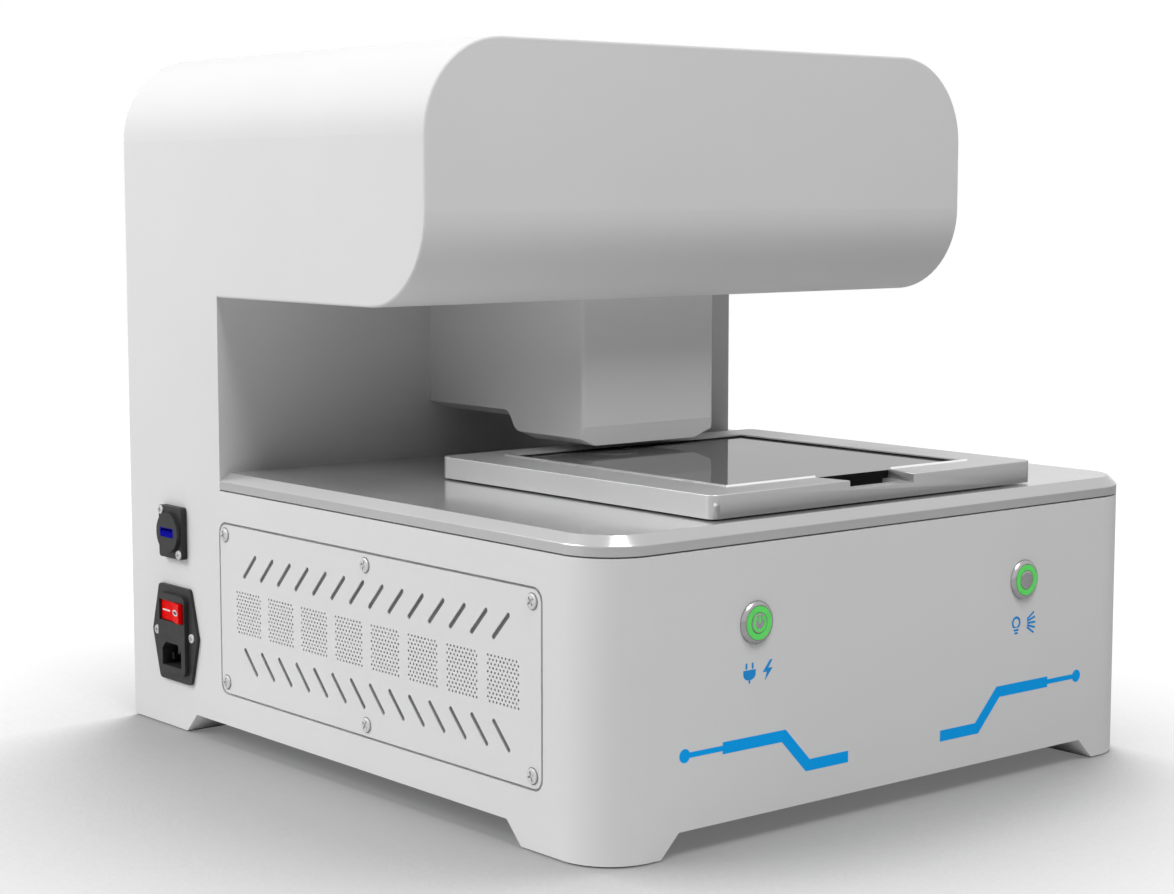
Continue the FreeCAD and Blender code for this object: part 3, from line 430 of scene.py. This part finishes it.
# Mains rocker: glossy red plastic, dished, with a bar mark for on and a ring mark for off.
# The marks are moulded in white and stand a hair proud of the two faces of the dish.
# The ring has a dark centre.
red_plastic = skin_material(
    "red_rocker_plastic", light=(0.82, 0.0, 0.0), dark=(0.75, 0.0, 0.0), patch=150, grain=4000,
    gloss=(0.25, 0.35), grain_depth=0.00001, specular_ior_level=0.03)
dress(red_plastic, "mains_rocker")
white_mark = skin_material(
    "white_mark_plastic", light=grey(0.82), dark=grey(0.76), patch=300, grain=4000,
    gloss=(0.35, 0.5), grain_depth=0.00001)
dark_mark = skin_material(
    "dark_mark_plastic", light=grey(0.02), dark=(0.015, 0.012, 0.012), patch=300, grain=4000,
    gloss=(0.3, 0.5), grain_depth=0.00001)
rocker_joint = next(joint for joint in frame["joints"] if joint["name"] == "mains_rocker_turn")
rocker_pivot = Vector(rocker_joint["pos_m"])
rest_tilt = Matrix.Rotation(math.radians(-8), 4, "Z")
rocker_tilt = Matrix.Translation(rocker_pivot) @ rest_tilt @ Matrix.Translation(-rocker_pivot)
rocker_middle, rocker_dip, rocker_half = -203.6, 1.2, 13.0
mark_depth, bar_at, off_at = 0.12, 7.0, -6.4


def on_rocker(along, up):
    """Point on the rocker's dished face, from its middle."""
    x = rocker_middle - rocker_dip * abs(along) / rocker_half
    return rocker_tilt @ Vector((x * MM, rocker_pivot.y + along * MM, rocker_pivot.z + up * MM))


def rocker_mark(name, loops, material):
    """Raised mark on the rocker."""
    shape = looped_sheet(loops, on_rocker, (-mark_depth * MM, 0, 0))
    add_piece(name, shape, material, "rocker")


def off_loop(half_length, half_width, sides):
    """Long ring at the place of the off mark."""
    return [(off_at + half_length * u, half_width * v) for u, v in ring_of(0, 0, 1, sides)]


off_ring = [off_loop(half_length=4.6, half_width=1.8, sides=28),
            off_loop(half_length=3.5, half_width=1.05, sides=28)]
rocker_mark("rocker_on_bar", [capsule(bar_at, 0, length=9.4, width=0.9, lean=0)], white_mark)
rocker_mark("rocker_off_ring", off_ring, white_mark)
rocker_mark("rocker_off_centre", [off_loop(half_length=3.4, half_width=0.95, sides=24)], dark_mark)

# Push buttons: turned metal bezel, green light ring and a sprung metal cap, through the front of the base.
# The power button's cap carries a lit power sign; the lamp button's cap is plain.
button_metal = skin_material(
    "satin_nickel", light=(0.42, 0.415, 0.42), dark=(0.34, 0.335, 0.34), patch=60, grain=2500,
    gloss=(0.2, 0.3), grain_depth=0.00001, metallic=1.0)
green_light = skin_material(
    "green_light_ring", light=(0.11, 0.65, 0.12), dark=(0.09, 0.55, 0.10), patch=200, grain=3000,
    gloss=(0.3, 0.4), grain_depth=0.00001, emission_color=(0.07, 0.7, 0.08, 1), emission_strength=0.2)
dress(green_light, "power_button_ring", "lamp_button_ring")
bezel_profile = [(8.5, -20.0), (9.0, -20.0), (9.0, 0.0), (11.0, 0.0), (11.0, 0.35), (10.8, 0.8),
                 (10.4, 1.3), (9.9, 1.75), (9.4, 2.05), (8.95, 2.2), (8.65, 2.18), (8.5, 2.0),
                 (8.5, -20.0)]
cap_profile = [(0, -11.0), (5.1, -11.0), (5.1, 2.2), (5.0, 2.4), (4.6, 2.52), (3.0, 2.58), (0, 2.6)]
bezel_sides, cap_sides, turned_smooth = 72, 48, 40
front_face, sign_face = -224.0, -226.5


def turned_front(profile, sides, x, z):
    """Turned shape at a button's place, facing the operator."""
    shape = turned_shape([(radius * MM, height * MM) for radius, height in profile], sides)
    place = Matrix.Translation(Vector((x, front_face, z)) * MM) @ Matrix.Rotation(math.radians(90), 4, "X")
    bmesh.ops.transform(shape, matrix=place, verts=shape.verts[:])
    return shape


def on_front(y):
    """Places flat (x, z) points on an upright plane at a y in metres, like the front."""
    return lambda x, z: (x * MM, y, z * MM)


button_places = {}
for button in ("power_button", "lamp_button"):
    low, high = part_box(button + "_bezel")
    x, z = (low.x + high.x) / 2 / MM, (low.z + high.z) / 2 / MM
    button_places[button] = (x, z)
    bezel = add_piece(button + "_bezel_turned", turned_front(bezel_profile, bezel_sides, x, z),
                      button_metal, "housing", turned_smooth)
    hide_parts(button + "_bezel")
    cap = add_piece(button + "_cap_turned", turned_front(cap_profile, cap_sides, x, z),
                    button_metal, button, turned_smooth)
    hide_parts(button + "_cap")

sign_x, sign_z = button_places["power_button"]
sign_outer, sign_inner, sign_gap, sign_steps, sign_rise = 4.5, 2.9, math.radians(34), 30, 0.18
upright = math.pi / 2
arc = [upright + sign_gap + i * (2 * math.pi - 2 * sign_gap) / sign_steps for i in range(sign_steps + 1)]
sign_loop = [(sign_x + sign_outer * math.cos(turn), sign_z + sign_outer * math.sin(turn)) for turn in arc]
sign_loop += [(sign_x + sign_inner * math.cos(turn), sign_z + sign_inner * math.sin(turn))
              for turn in reversed(arc)]
bar_rise = 2.2
sign_bar = capsule(sign_x, sign_z + bar_rise, length=4.6, width=1.5, lean=upright)
power_sign = looped_sheet([sign_loop, sign_bar], on_front(sign_face * MM), (0, -sign_rise * MM, 0))
add_piece("power_sign", power_sign, green_light, "power_button")

# Printed front: a blue line on each half, and a pair of small signs under each button.
# Screen-printed ink, a thin film on the base's front; the two lines mirror each other.
blue_ink = skin_material(
    "blue_ink", light=(0.0, 0.39, 0.96), dark=(0.0, 0.37, 0.92), patch=40, grain=3500,
    gloss=(0.5, 0.6), grain_depth=0.00001, specular_ior_level=0.08)
label_ink = skin_material(
    "label_ink", light=(0.02, 0.30, 0.74), dark=(0.018, 0.28, 0.70), patch=80, grain=3500,
    gloss=(0.5, 0.6), grain_depth=0.00001, specular_ior_level=0.08)
ink_rise = 0.06


def print_front(name, loops, ink):
    """Film of ink on the base's front."""
    film = looped_sheet(loops, on_front(front_face * MM), (0, -ink_rise * MM, 0))
    add_piece(name, film, ink, "housing")


end_x, line_z, end_radius, end_mouth, end_steps = 148.0, 49.8, 3.5, 22.6, 24
line_half, line_stop = 1.35, 123.0
band_half, band_drop, band_stop = 3.0, 17.7, 35.0
upper_bend_top, upper_bend_foot = 80.0, 82.7
lower_bend_top, lower_bend_foot = 62.9, 65.6
end_turns = [math.radians(end_mouth + i * (360 - 2 * end_mouth) / end_steps) + math.pi
             for i in range(end_steps + 1)]
stripe = [(end_x + end_radius * math.cos(turn), line_z + end_radius * math.sin(turn)) for turn in end_turns]
stripe += [(line_stop, line_z + line_half), (line_stop, line_z + band_half),
           (upper_bend_top, line_z + band_half), (lower_bend_top, line_z - band_drop + band_half),
           (band_stop, line_z - band_drop + band_half), (band_stop, line_z - band_drop - band_half),
           (lower_bend_foot, line_z - band_drop - band_half), (upper_bend_foot, line_z - band_half),
           (line_stop, line_z - band_half), (line_stop, line_z - line_half)]
for side, name in ((-1, "left"), (1, "right")):
    print_front(f"front_line_{name}", [[(side * x, z) for x, z in stripe]], blue_ink)

sign_foot = 79.6
plug_x, plug_half, plug_bowl = -105.3, 4.2, 3.0
plug_top, plug_shoulder = sign_foot + 6.8, sign_foot + 4.6
prong_out, prong_z, prong_length, prong_width = 2.1, sign_foot + 8.8, 3.2, 1.3
stub_z, stub_length = sign_foot + 0.8, 1.7
bowl_turns = [math.radians(180 + 15 * i) for i in range(1, 12)]
plug = [(plug_x - plug_half, plug_top), (plug_x - plug_half, plug_shoulder)]
plug += [(plug_x + plug_half * math.cos(turn), plug_shoulder + plug_bowl * math.sin(turn))
         for turn in bowl_turns]
plug += [(plug_x + plug_half, plug_shoulder), (plug_x + plug_half, plug_top)]
power_signs = [plug]
for side in (-1, 1):
    power_signs.append(capsule(plug_x + side * prong_out, prong_z, prong_length, prong_width, upright))
power_signs.append(capsule(plug_x, stub_z, stub_length, prong_width, upright))
bolt_x = -93.0
bolt = ((1.6, 10.4), (-3.4, 4.5), (-0.5, 4.5), (-1.9, 0.0), (3.5, 6.3), (0.5, 6.3), (3.4, 10.4))
power_signs.append([(bolt_x + u, sign_foot + v) for u, v in bolt])
print_front("power_label", power_signs, label_ink)

bulb_x, bulb_z, bulb_radius, bulb_core = 95.5, sign_foot + 6.6, 3.6, 2.3
bulb_start, bulb_sweep, bulb_steps = -50, 280, 28
bulb_turns = [math.radians(bulb_start + i * bulb_sweep / bulb_steps) for i in range(bulb_steps + 1)]
bulb = [(bulb_x + bulb_radius * math.cos(turn), bulb_z + bulb_radius * math.sin(turn))
        for turn in bulb_turns]
lamp_signs = [bulb, ring_of(bulb_x, bulb_z, bulb_core, sides=24)]
for rise, length in ((2.5, 4.2), (0.8, 3.0)):
    lamp_signs.append(capsule(bulb_x, sign_foot + rise, length, width=1.1, lean=0))
beam_x, beam_z, beam_out, beam_fan = 103.2, bulb_z - 1.2, 5.0, 7.6
for turn in (math.radians(spread) for spread in (-32, -16, 0, 16, 32)):
    lamp_signs.append(capsule(beam_x + beam_out * math.cos(turn), beam_z + beam_fan * math.sin(turn),
                              length=7.0, width=1.15, lean=turn))
print_front("lamp_label", lamp_signs, label_ink)

# Worktop and sample tray: thick alloy plates with milled bevels, satin anodised in pale grey.
# The worktop lies on its gasket; the tray slides over it on posts through two hidden slots.
# Their upper edges are broken with a file, which leaves a fine round that catches the light.


def flat_shaded(piece):
    """Keeps large flat faces flat next to their rounded edges."""
    flats = piece.modifiers.new("flat_faces", "WEIGHTED_NORMAL")
    flats.keep_sharp = True
    return piece


def rimmed_plate(outline, profile, holes):
    """Plate whose rim is the outline at the profile's insets and heights, with upright holes through it."""
    shape = bmesh.new()
    walls = [[[(x, y, z) for x, y in outline(inset)] for inset, z in profile]]
    walls += [[[(x, y, z) for x, y in hole] for z in (profile[0][1], profile[-1][1])] for hole in holes]
    for rows in walls:
        spots = [[shape.verts.new(Vector(point) * MM) for point in row] for row in rows]
        for lower, upper in zip(spots, spots[1:]):
            for i in range(len(lower)):
                shape.faces.new((lower[i - 1], lower[i], upper[i], upper[i - 1]))
    for inset, z in (profile[0], profile[-1]):
        flat_faces(shape, [outline(inset)] + holes, lambda x, y: (x * MM, y * MM, z * MM))
    bmesh.ops.remove_doubles(shape, verts=shape.verts[:], dist=1e-6)
    bmesh.ops.recalc_face_normals(shape, faces=shape.faces[:])
    return shape


def eased(before, corner, after, reach):
    """Four points of a soft corner in a profile."""
    middle = Vector(corner)
    start = middle + (Vector(before) - middle).normalized() * reach
    end = middle + (Vector(after) - middle).normalized() * reach
    steps = (0, 1 / 3, 2 / 3, 1)
    return [tuple(start * (1 - t) ** 2 + middle * 2 * t * (1 - t) + end * t ** 2) for t in steps]


def soft_edged(node, width, chosen):
    """Copy of a CAD node's mesh with the chosen outer edges rounded."""
    shape = bmesh.new()
    shape.from_mesh(frame["nodes"][node].data)
    bmesh.ops.remove_doubles(shape, verts=shape.verts[:], dist=1e-6)
    flat_within, crease = math.radians(0.5), math.radians(22)
    bmesh.ops.dissolve_limit(shape, angle_limit=flat_within, verts=shape.verts[:], edges=shape.edges[:])
    edges = []
    for edge in shape.edges:
        middle = (edge.verts[0].co + edge.verts[1].co) / 2 / MM
        if edge.is_manifold and edge.is_convex and edge.calc_face_angle(0) > crease and chosen(middle):
            edges.append(edge)
    bmesh.ops.bevel(shape, geom=edges, offset=width * MM, offset_type="OFFSET", segments=3, profile=0.5,
                    affect="EDGES", clamp_overlap=False)
    return shape


pale_alloy = skin_material(
    "pale_anodised_alloy", light=(0.53, 0.53, 0.532), dark=(0.50, 0.50, 0.502), patch=6, grain=1500,
    gloss=(0.17, 0.22), grain_depth=0.000004, metallic=0.6)
deck_low, deck_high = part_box("deck_plate")
deck_corner, deck_chamfer, edge_ease, corner_steps, plate_smooth = 30.0, 5.0, 0.5, 32, 50


def deck_outline(inset):
    """Plan of the worktop: round corners in front, square ones against the column."""
    left, right = deck_low.x / MM + inset, deck_high.x / MM - inset
    front, back = deck_low.y / MM + inset, deck_high.y / MM - inset
    radius = deck_corner - inset
    loop = [(right, back), (left, back)]
    for start, x in ((180, left + radius), (270, right - radius)):
        for i in range(corner_steps + 1):
            turn = math.radians(start + 90 * i / corner_steps)
            loop.append((x + radius * math.cos(turn), front + radius + radius * math.sin(turn)))
    return loop


deck_foot, deck_flat = deck_low.z / MM, deck_high.z / MM
chamfer_low, chamfer_high = (0.0, deck_flat - deck_chamfer), (deck_chamfer, deck_flat)
deck_profile = [(0.0, deck_foot)] + eased((0.0, deck_foot), chamfer_low, chamfer_high, edge_ease)
deck_profile += eased(chamfer_low, chamfer_high, (2 * deck_chamfer, deck_flat), edge_ease)
post_x, post_slot_half, post_slot_near, post_slot_far = 105.0, 7.0, -107.5, 11.5
post_slots = []
for x in (-post_x, post_x):
    left, right = x - post_slot_half, x + post_slot_half
    post_slots.append([(left, post_slot_near), (right, post_slot_near), (right, post_slot_far),
                       (left, post_slot_far)])
deck_shape = rimmed_plate(deck_outline, deck_profile, post_slots)
deck = flat_shaded(add_piece("deck_plate_chamfered", deck_shape, pale_alloy, "housing",
                             plate_smooth))
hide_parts("deck_plate")

tray_alloy = skin_material(
    "satin_anodised_alloy", light=(0.57, 0.57, 0.572), dark=(0.54, 0.54, 0.542), patch=6, grain=1500,
    gloss=(0.34, 0.42), grain_depth=0.000004, metallic=0.74)
tray_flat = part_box("sample_tray")[1].z / MM
tray_shape = soft_edged("sample_tray", edge_ease, lambda at: at.z > tray_flat - edge_ease)
tray = flat_shaded(add_piece("sample_tray_soft_edged", tray_shape, tray_alloy, "stage",
                             plate_smooth))
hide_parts("sample_tray")

# Lip of the tray's opening: a fine raised stop along its front and left, cut bright after the anodising.
# It is open at the finger notch, where a strip of black felt lines the slot in front of the plate.
# A band of the same felt fills the gap round the plate; the felt's near black is also painted shade,
# standing in for the shade in the slot and in the gap.
bright_cut = skin_material(
    "bright_cut_alloy", light=(0.93, 0.93, 0.935), dark=(0.90, 0.90, 0.905), patch=60, grain=3000,
    gloss=(0.14, 0.22), grain_depth=0.000002, metallic=1.0)
plate_low, plate_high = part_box("sample_plate")
plate_half, plate_y = plate_high.x / MM, (plate_low.y + plate_high.y) / 2 / MM
plate_play, notch_half, lip_smooth = 0.5, 28.4, 20
opening_half = plate_half + plate_play
opening_front, opening_back = plate_low.y / MM - plate_play, plate_high.y / MM + plate_play
lip_profile = [(0.1, -1.15), (1.3, -0.06), (2.1, -0.06), (2.1, 0.02), (1.55, 0.95), (1.25, 1.0),
               (0.85, 0.92), (0.1, -0.2)]
lip_shape = bmesh.new()
lip_rows = []
for out, rise in lip_profile:
    left, near = -opening_half - out, opening_front - out
    run = [(left, opening_back), (left, near), (-notch_half, near), (notch_half, near),
           (opening_half, near)]
    lip_rows.append([lip_shape.verts.new(Vector((x, y, tray_flat + rise)) * MM) for x, y in run])
lip_stretches, lip_ends = (0, 1, 3), (0, 2, 3, 4)
for low_row, high_row in zip(lip_rows, lip_rows[1:] + lip_rows[:1]):
    for i in lip_stretches:
        lip_shape.faces.new((low_row[i], low_row[i + 1], high_row[i + 1], high_row[i]))
for end in lip_ends:
    lip_shape.faces.new([row[end] for row in lip_rows])
bmesh.ops.recalc_face_normals(lip_shape, faces=lip_shape.faces[:])
add_piece("tray_bright_lip", lip_shape, bright_cut, "stage", lip_smooth)

# Near-black felt, also painted shade: it darkens the notch's slot and the gap round the plate as their
# shade would.
painted_shade_felt = skin_material(
    "black_felt_painted_shade", light=grey(0.012), dark=grey(0.006), patch=200, grain=2200,
    gloss=(0.9, 1.0), grain_depth=0.0002, specular_ior_level=0.1)
band_outer, band_inner, band_top, band_foot = 0.47, 0.02, 0.7, 0.1
band_loops = []
for out in (band_outer, band_inner):
    reach = plate_half + out
    band_loops.append([(x * reach, plate_y + y * reach) for x, y in ((-1, -1), (1, -1), (1, 1), (-1, 1))])
band_height = plate_high.z - plate_low.z + (band_top - band_foot) * MM
painted_shade_felt_band = looped_sheet(band_loops, lambda x, y: (x * MM, y * MM, plate_low.z + band_foot * MM),
                         (0, 0, band_height))
add_piece("plate_painted_shade_felt_band", painted_shade_felt_band, painted_shade_felt, "stage")
notch_front, notch_depth, painted_shade_felt_half, painted_shade_felt_thick, painted_shade_felt_drop = -203.4, 8.95, 23.7, 0.5, 0.1
notch_foot, painted_shade_felt_top = tray_flat - notch_depth, plate_high.z / MM - painted_shade_felt_drop
painted_shade_felt_loop = [(notch_front, notch_foot), (opening_front, notch_foot), (opening_front, painted_shade_felt_top),
             (opening_front - painted_shade_felt_thick, painted_shade_felt_top), (opening_front - painted_shade_felt_thick, notch_foot + painted_shade_felt_thick),
             (notch_front, notch_foot + painted_shade_felt_thick)]
notch_painted_shade_felt = looped_sheet([painted_shade_felt_loop], on_side(-painted_shade_felt_half * MM), (2 * painted_shade_felt_half * MM, 0, 0))
add_piece("notch_painted_shade_felt", notch_painted_shade_felt, painted_shade_felt, "stage")

# Sample plate: dark polished mirror plate in the tray's recess, with faint wiping marks.
# Ground and polished metal; it lies loose on the tray's ledge and mirrors the nose above it.
mirror_plate = skin_material(
    "dark_mirror_plate", light=(0.66, 0.66, 0.665), dark=(0.63, 0.63, 0.635), patch=14, grain=600,
    gloss=(0.03, 0.06), grain_depth=0.000002, metallic=0.82, specular_tint=(*grey(0.38), 1))
dress(mirror_plate, "sample_plate")

# Measuring nose: welded sheet hood under the head, stepped and bevelled underneath, in the white coat.
# Its upright welds are ground round, and it hangs from a flange inside the head.
dress(white_paint, "nose_cover")

# Rear cover: flat coated sheet let into the back, held by a row of cross-head screws round its edge.
# Each screw sits in a round hole of the sheet, with its head just under the surface.
cover_low, cover_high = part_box("rear_cover")
cover_left, cover_right = cover_low.x / MM, cover_high.x / MM
cover_foot, cover_top = cover_low.z / MM, cover_high.z / MM
cover_radius, cover_steps = 47.5, 16
cover_loop = [(cover_left, cover_foot), (cover_right, cover_foot)]
for start, x in ((0, cover_right - cover_radius), (90, cover_left + cover_radius)):
    for i in range(cover_steps + 1):
        turn = math.radians(start + 90 * i / cover_steps)
        cover_loop.append((x + cover_radius * math.cos(turn),
                           cover_top - cover_radius + cover_radius * math.sin(turn)))
screw_inset, hole_radius, hole_sides, head_play, head_depth = 9.0, 3.4, 24, 0.1, 1.4
side_heights = (cover_foot + screw_inset, 130.0, 242.0, cover_top - 62.0)
row_half = 95.0
rear_screw_spots = [(x, z) for x in (cover_left + screw_inset, cover_right - screw_inset)
                    for z in side_heights]
rear_screw_spots += [(x, z) for x in (-row_half, row_half)
                     for z in (cover_foot + screw_inset, cover_top - screw_inset)]
cover_holes = [ring_of(x, z, hole_radius, hole_sides) for x, z in rear_screw_spots]
rear_sheet = looped_sheet([cover_loop] + cover_holes, on_front(cover_low.y),
                          (0, cover_high.y - cover_low.y, 0))
rear_cover = add_piece("rear_cover_sheet", rear_sheet, white_paint, "housing")
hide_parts("rear_cover")
rear_screw = screw_mesh("rear_screw_head", hole_radius - head_play, rise=1.1)
backwards, turn_by_screw = (0, 1, 0), 0.7
for number, (x, z) in enumerate(rear_screw_spots):
    seat = (x, cover_high.y / MM - head_depth, z)
    add_screw(f"rear_screw_{number}", rear_screw, screw_zinc, seat, backwards, turn_by_screw * number)

# Working parts inside the head and base: slide, drive, optics, power supply and control board.
# Bare alloy, steel, zinced sheet, a brass nut and a plastic tube, and a green circuit board.
# The sphere has a white diffuser coat.
alloy = skin_material(
    "bare_alloy", light=(0.66, 0.66, 0.68), dark=(0.56, 0.56, 0.58), patch=30, grain=1800,
    gloss=(0.3, 0.45), grain_depth=0.00002, metallic=1.0)
dress(alloy, "stage_carriage", "tray_posts", "screw_bearing", "motor_bracket", "optics_plate",
      "lamp_module", "spectrometer", "power_supply", "port_ring")
bright_steel = skin_material(
    "ground_steel", light=(0.60, 0.60, 0.61), dark=(0.50, 0.50, 0.51), patch=50, grain=2500,
    gloss=(0.2, 0.35), grain_depth=0.00001, metallic=1.0)
dress(bright_steel, "button_nuts", "slide_rails", "slide_bearings", "lead_screw", "stage_motor",
      "board_standoffs", "sphere_hangers")
zinc_sheet = skin_material(
    "zinced_sheet", light=(0.52, 0.53, 0.55), dark=(0.42, 0.43, 0.45), patch=18, grain=700,
    gloss=(0.4, 0.6), grain_depth=0.00003, metallic=0.9)
dress(zinc_sheet, "bottom_pan")
diffuser = skin_material(
    "white_diffuser", light=(0.88, 0.88, 0.87), dark=(0.84, 0.84, 0.83), patch=40, grain=3000,
    gloss=(0.8, 0.95), grain_depth=0.00004)
dress(diffuser, "sphere_lower", "sphere_upper")
board_green = skin_material(
    "board_green", light=(0.03, 0.20, 0.08), dark=(0.02, 0.15, 0.06), patch=60, grain=1500,
    gloss=(0.3, 0.5), grain_depth=0.00003)
dress(board_green, "control_board")
dress(dark_plastic, "detector_tube")
dress(brass, "lead_nut")

# Studio: a pale floor in a white room, soft lights at the upper left and above the front, and the camera.
# The eye and the metal see the room as white; matt surfaces get a dim sky that is brightest overhead.
# The camera sees the open floor as white too, and the object's soft shadow to the left and in front, which
# is partly the lamps' shadow and partly painted shadow: the floor glows less where it is less open.


def worked_out(tree, operation, first, second):
    """Result of a math node that is fed by sockets or numbers."""
    node = tree.nodes.new("ShaderNodeMath")
    node.operation = operation
    for socket, value in zip(node.inputs, (first, second)):
        if isinstance(value, float):
            socket.default_value = value
        else:
            tree.links.new(value, socket)
    return node.outputs[0]


floor_half = 6
floor_shape = bmesh.new()
bmesh.ops.create_grid(floor_shape, x_segments=1, y_segments=1, size=floor_half)
floor_mesh = mesh_of("studio_floor", floor_shape)
floor = bpy.data.objects.new("studio_floor", floor_mesh)
bpy.context.scene.collection.objects.link(floor)
floor_paint = bpy.data.materials.new("studio_floor")
floor_paint.use_nodes = True
floor_mesh.materials.append(floor_paint)
tree = floor_paint.node_tree
matt = tree.nodes["Principled BSDF"]
matt.inputs["Roughness"].default_value = 0.9
matt.inputs["Specular IOR Level"].default_value = 0.1
matt.inputs["Emission Color"].default_value = (1, 1, 1, 1)
rays = tree.nodes.new("ShaderNodeLightPath").outputs
floor_tone = tree.nodes.new("ShaderNodeMix")
floor_tone.data_type = "RGBA"
floor_bounce, floor_seen = 0.7, 0.24
floor_tone.inputs["A"].default_value = (*grey(floor_bounce), 1)
floor_tone.inputs["B"].default_value = (*grey(floor_seen), 1)
tree.links.new(rays["Is Camera Ray"], floor_tone.inputs["Factor"])
tree.links.new(floor_tone.outputs["Result"], matt.inputs["Base Color"])
shadow_lean = tree.nodes.new("ShaderNodeCombineXYZ")
for axis, value in (("X", 0.42), ("Y", 0.34), ("Z", 0.84)):
    shadow_lean.inputs[axis].default_value = value
# Painted shadow: the camera's glow of the floor follows its openness, measured leaning to the right and
# back, so it is darker to the left and in front.
openness = tree.nodes.new("ShaderNodeAmbientOcclusion")
openness.inputs["Distance"].default_value = 0.8
openness.samples = 12
opened = tree.nodes.new("ShaderNodeMapRange")
for label, value in (("From Min", 0.5), ("From Max", 0.97), ("To Min", 0.13), ("To Max", 0.9)):
    opened.inputs[label].default_value = value
tree.links.new(shadow_lean.outputs["Vector"], openness.inputs["Normal"])
tree.links.new(openness.outputs["AO"], opened.inputs["Value"])
lift = worked_out(tree, "MULTIPLY", rays["Is Camera Ray"], opened.outputs["Result"])
tree.links.new(lift, matt.inputs["Emission Strength"])

room = bpy.data.worlds.new("studio_room")
room.use_nodes = True
bpy.context.scene.world = room
tree = room.node_tree
glow = tree.nodes["Background"]
glow.inputs["Color"].default_value = (1, 1, 1, 1)
rays = tree.nodes.new("ShaderNodeLightPath").outputs
seen = worked_out(tree, "MAXIMUM", rays["Is Camera Ray"], rays["Is Glossy Ray"])
seen = worked_out(tree, "MAXIMUM", seen, rays["Is Transmission Ray"])
not_by_matt = worked_out(tree, "LESS_THAN", rays["Diffuse Depth"], 0.5)
shown_white = worked_out(tree, "MULTIPLY", seen, not_by_matt)
directions = tree.nodes.new("ShaderNodeTexCoord")
direction = tree.nodes.new("ShaderNodeSeparateXYZ")
horizon_level, overhead_level, white_level = 0.0, 0.36, 1.0
sky = tree.nodes.new("ShaderNodeMapRange")
sky.inputs["To Min"].default_value = horizon_level
sky.inputs["To Max"].default_value = overhead_level
level = tree.nodes.new("ShaderNodeMix")
level.inputs["B"].default_value = white_level
tree.links.new(directions.outputs["Generated"], direction.inputs["Vector"])
tree.links.new(direction.outputs["Z"], sky.inputs["Value"])
tree.links.new(shown_white, level.inputs["Factor"])
tree.links.new(sky.outputs["Result"], level.inputs["A"])
tree.links.new(level.outputs["Result"], glow.inputs["Strength"])


def soft_light(name, place, aim, size, power):
    """Round soft box at a place, aimed at a point."""
    data = bpy.data.lights.new(name, "AREA")
    data.shape = "DISK"
    data.size = size
    data.energy = power
    lamp = bpy.data.objects.new(name, data)
    bpy.context.scene.collection.objects.link(lamp)
    lamp.location = place
    lamp.rotation_euler = (Vector(aim) - Vector(place)).to_track_quat("-Z", "Y").to_euler()


soft_light("key_light", place=(-1.8, 0.95, 1.5), aim=(0, 0, 0.2), size=1.7, power=38.5)
soft_light("front_light", place=(-0.25, -1.15, 2.2), aim=(0, -0.1, 0.2), size=1.2, power=34)

eye = bpy.data.cameras.new("photo_camera")
eye.sensor_width = 36.0
eye.lens = 71.65
camera = bpy.data.objects.new("photo_camera", eye)
bpy.context.scene.collection.objects.link(camera)
camera_dip, camera_turn = 6.22, -39.61
camera.location = (-0.8886, -1.04499, 0.32026)
camera.rotation_euler = (math.radians(90 - camera_dip), 0, math.radians(camera_turn))
bpy.context.scene.camera = camera
bpy.context.scene.view_settings.view_transform = "Standard"
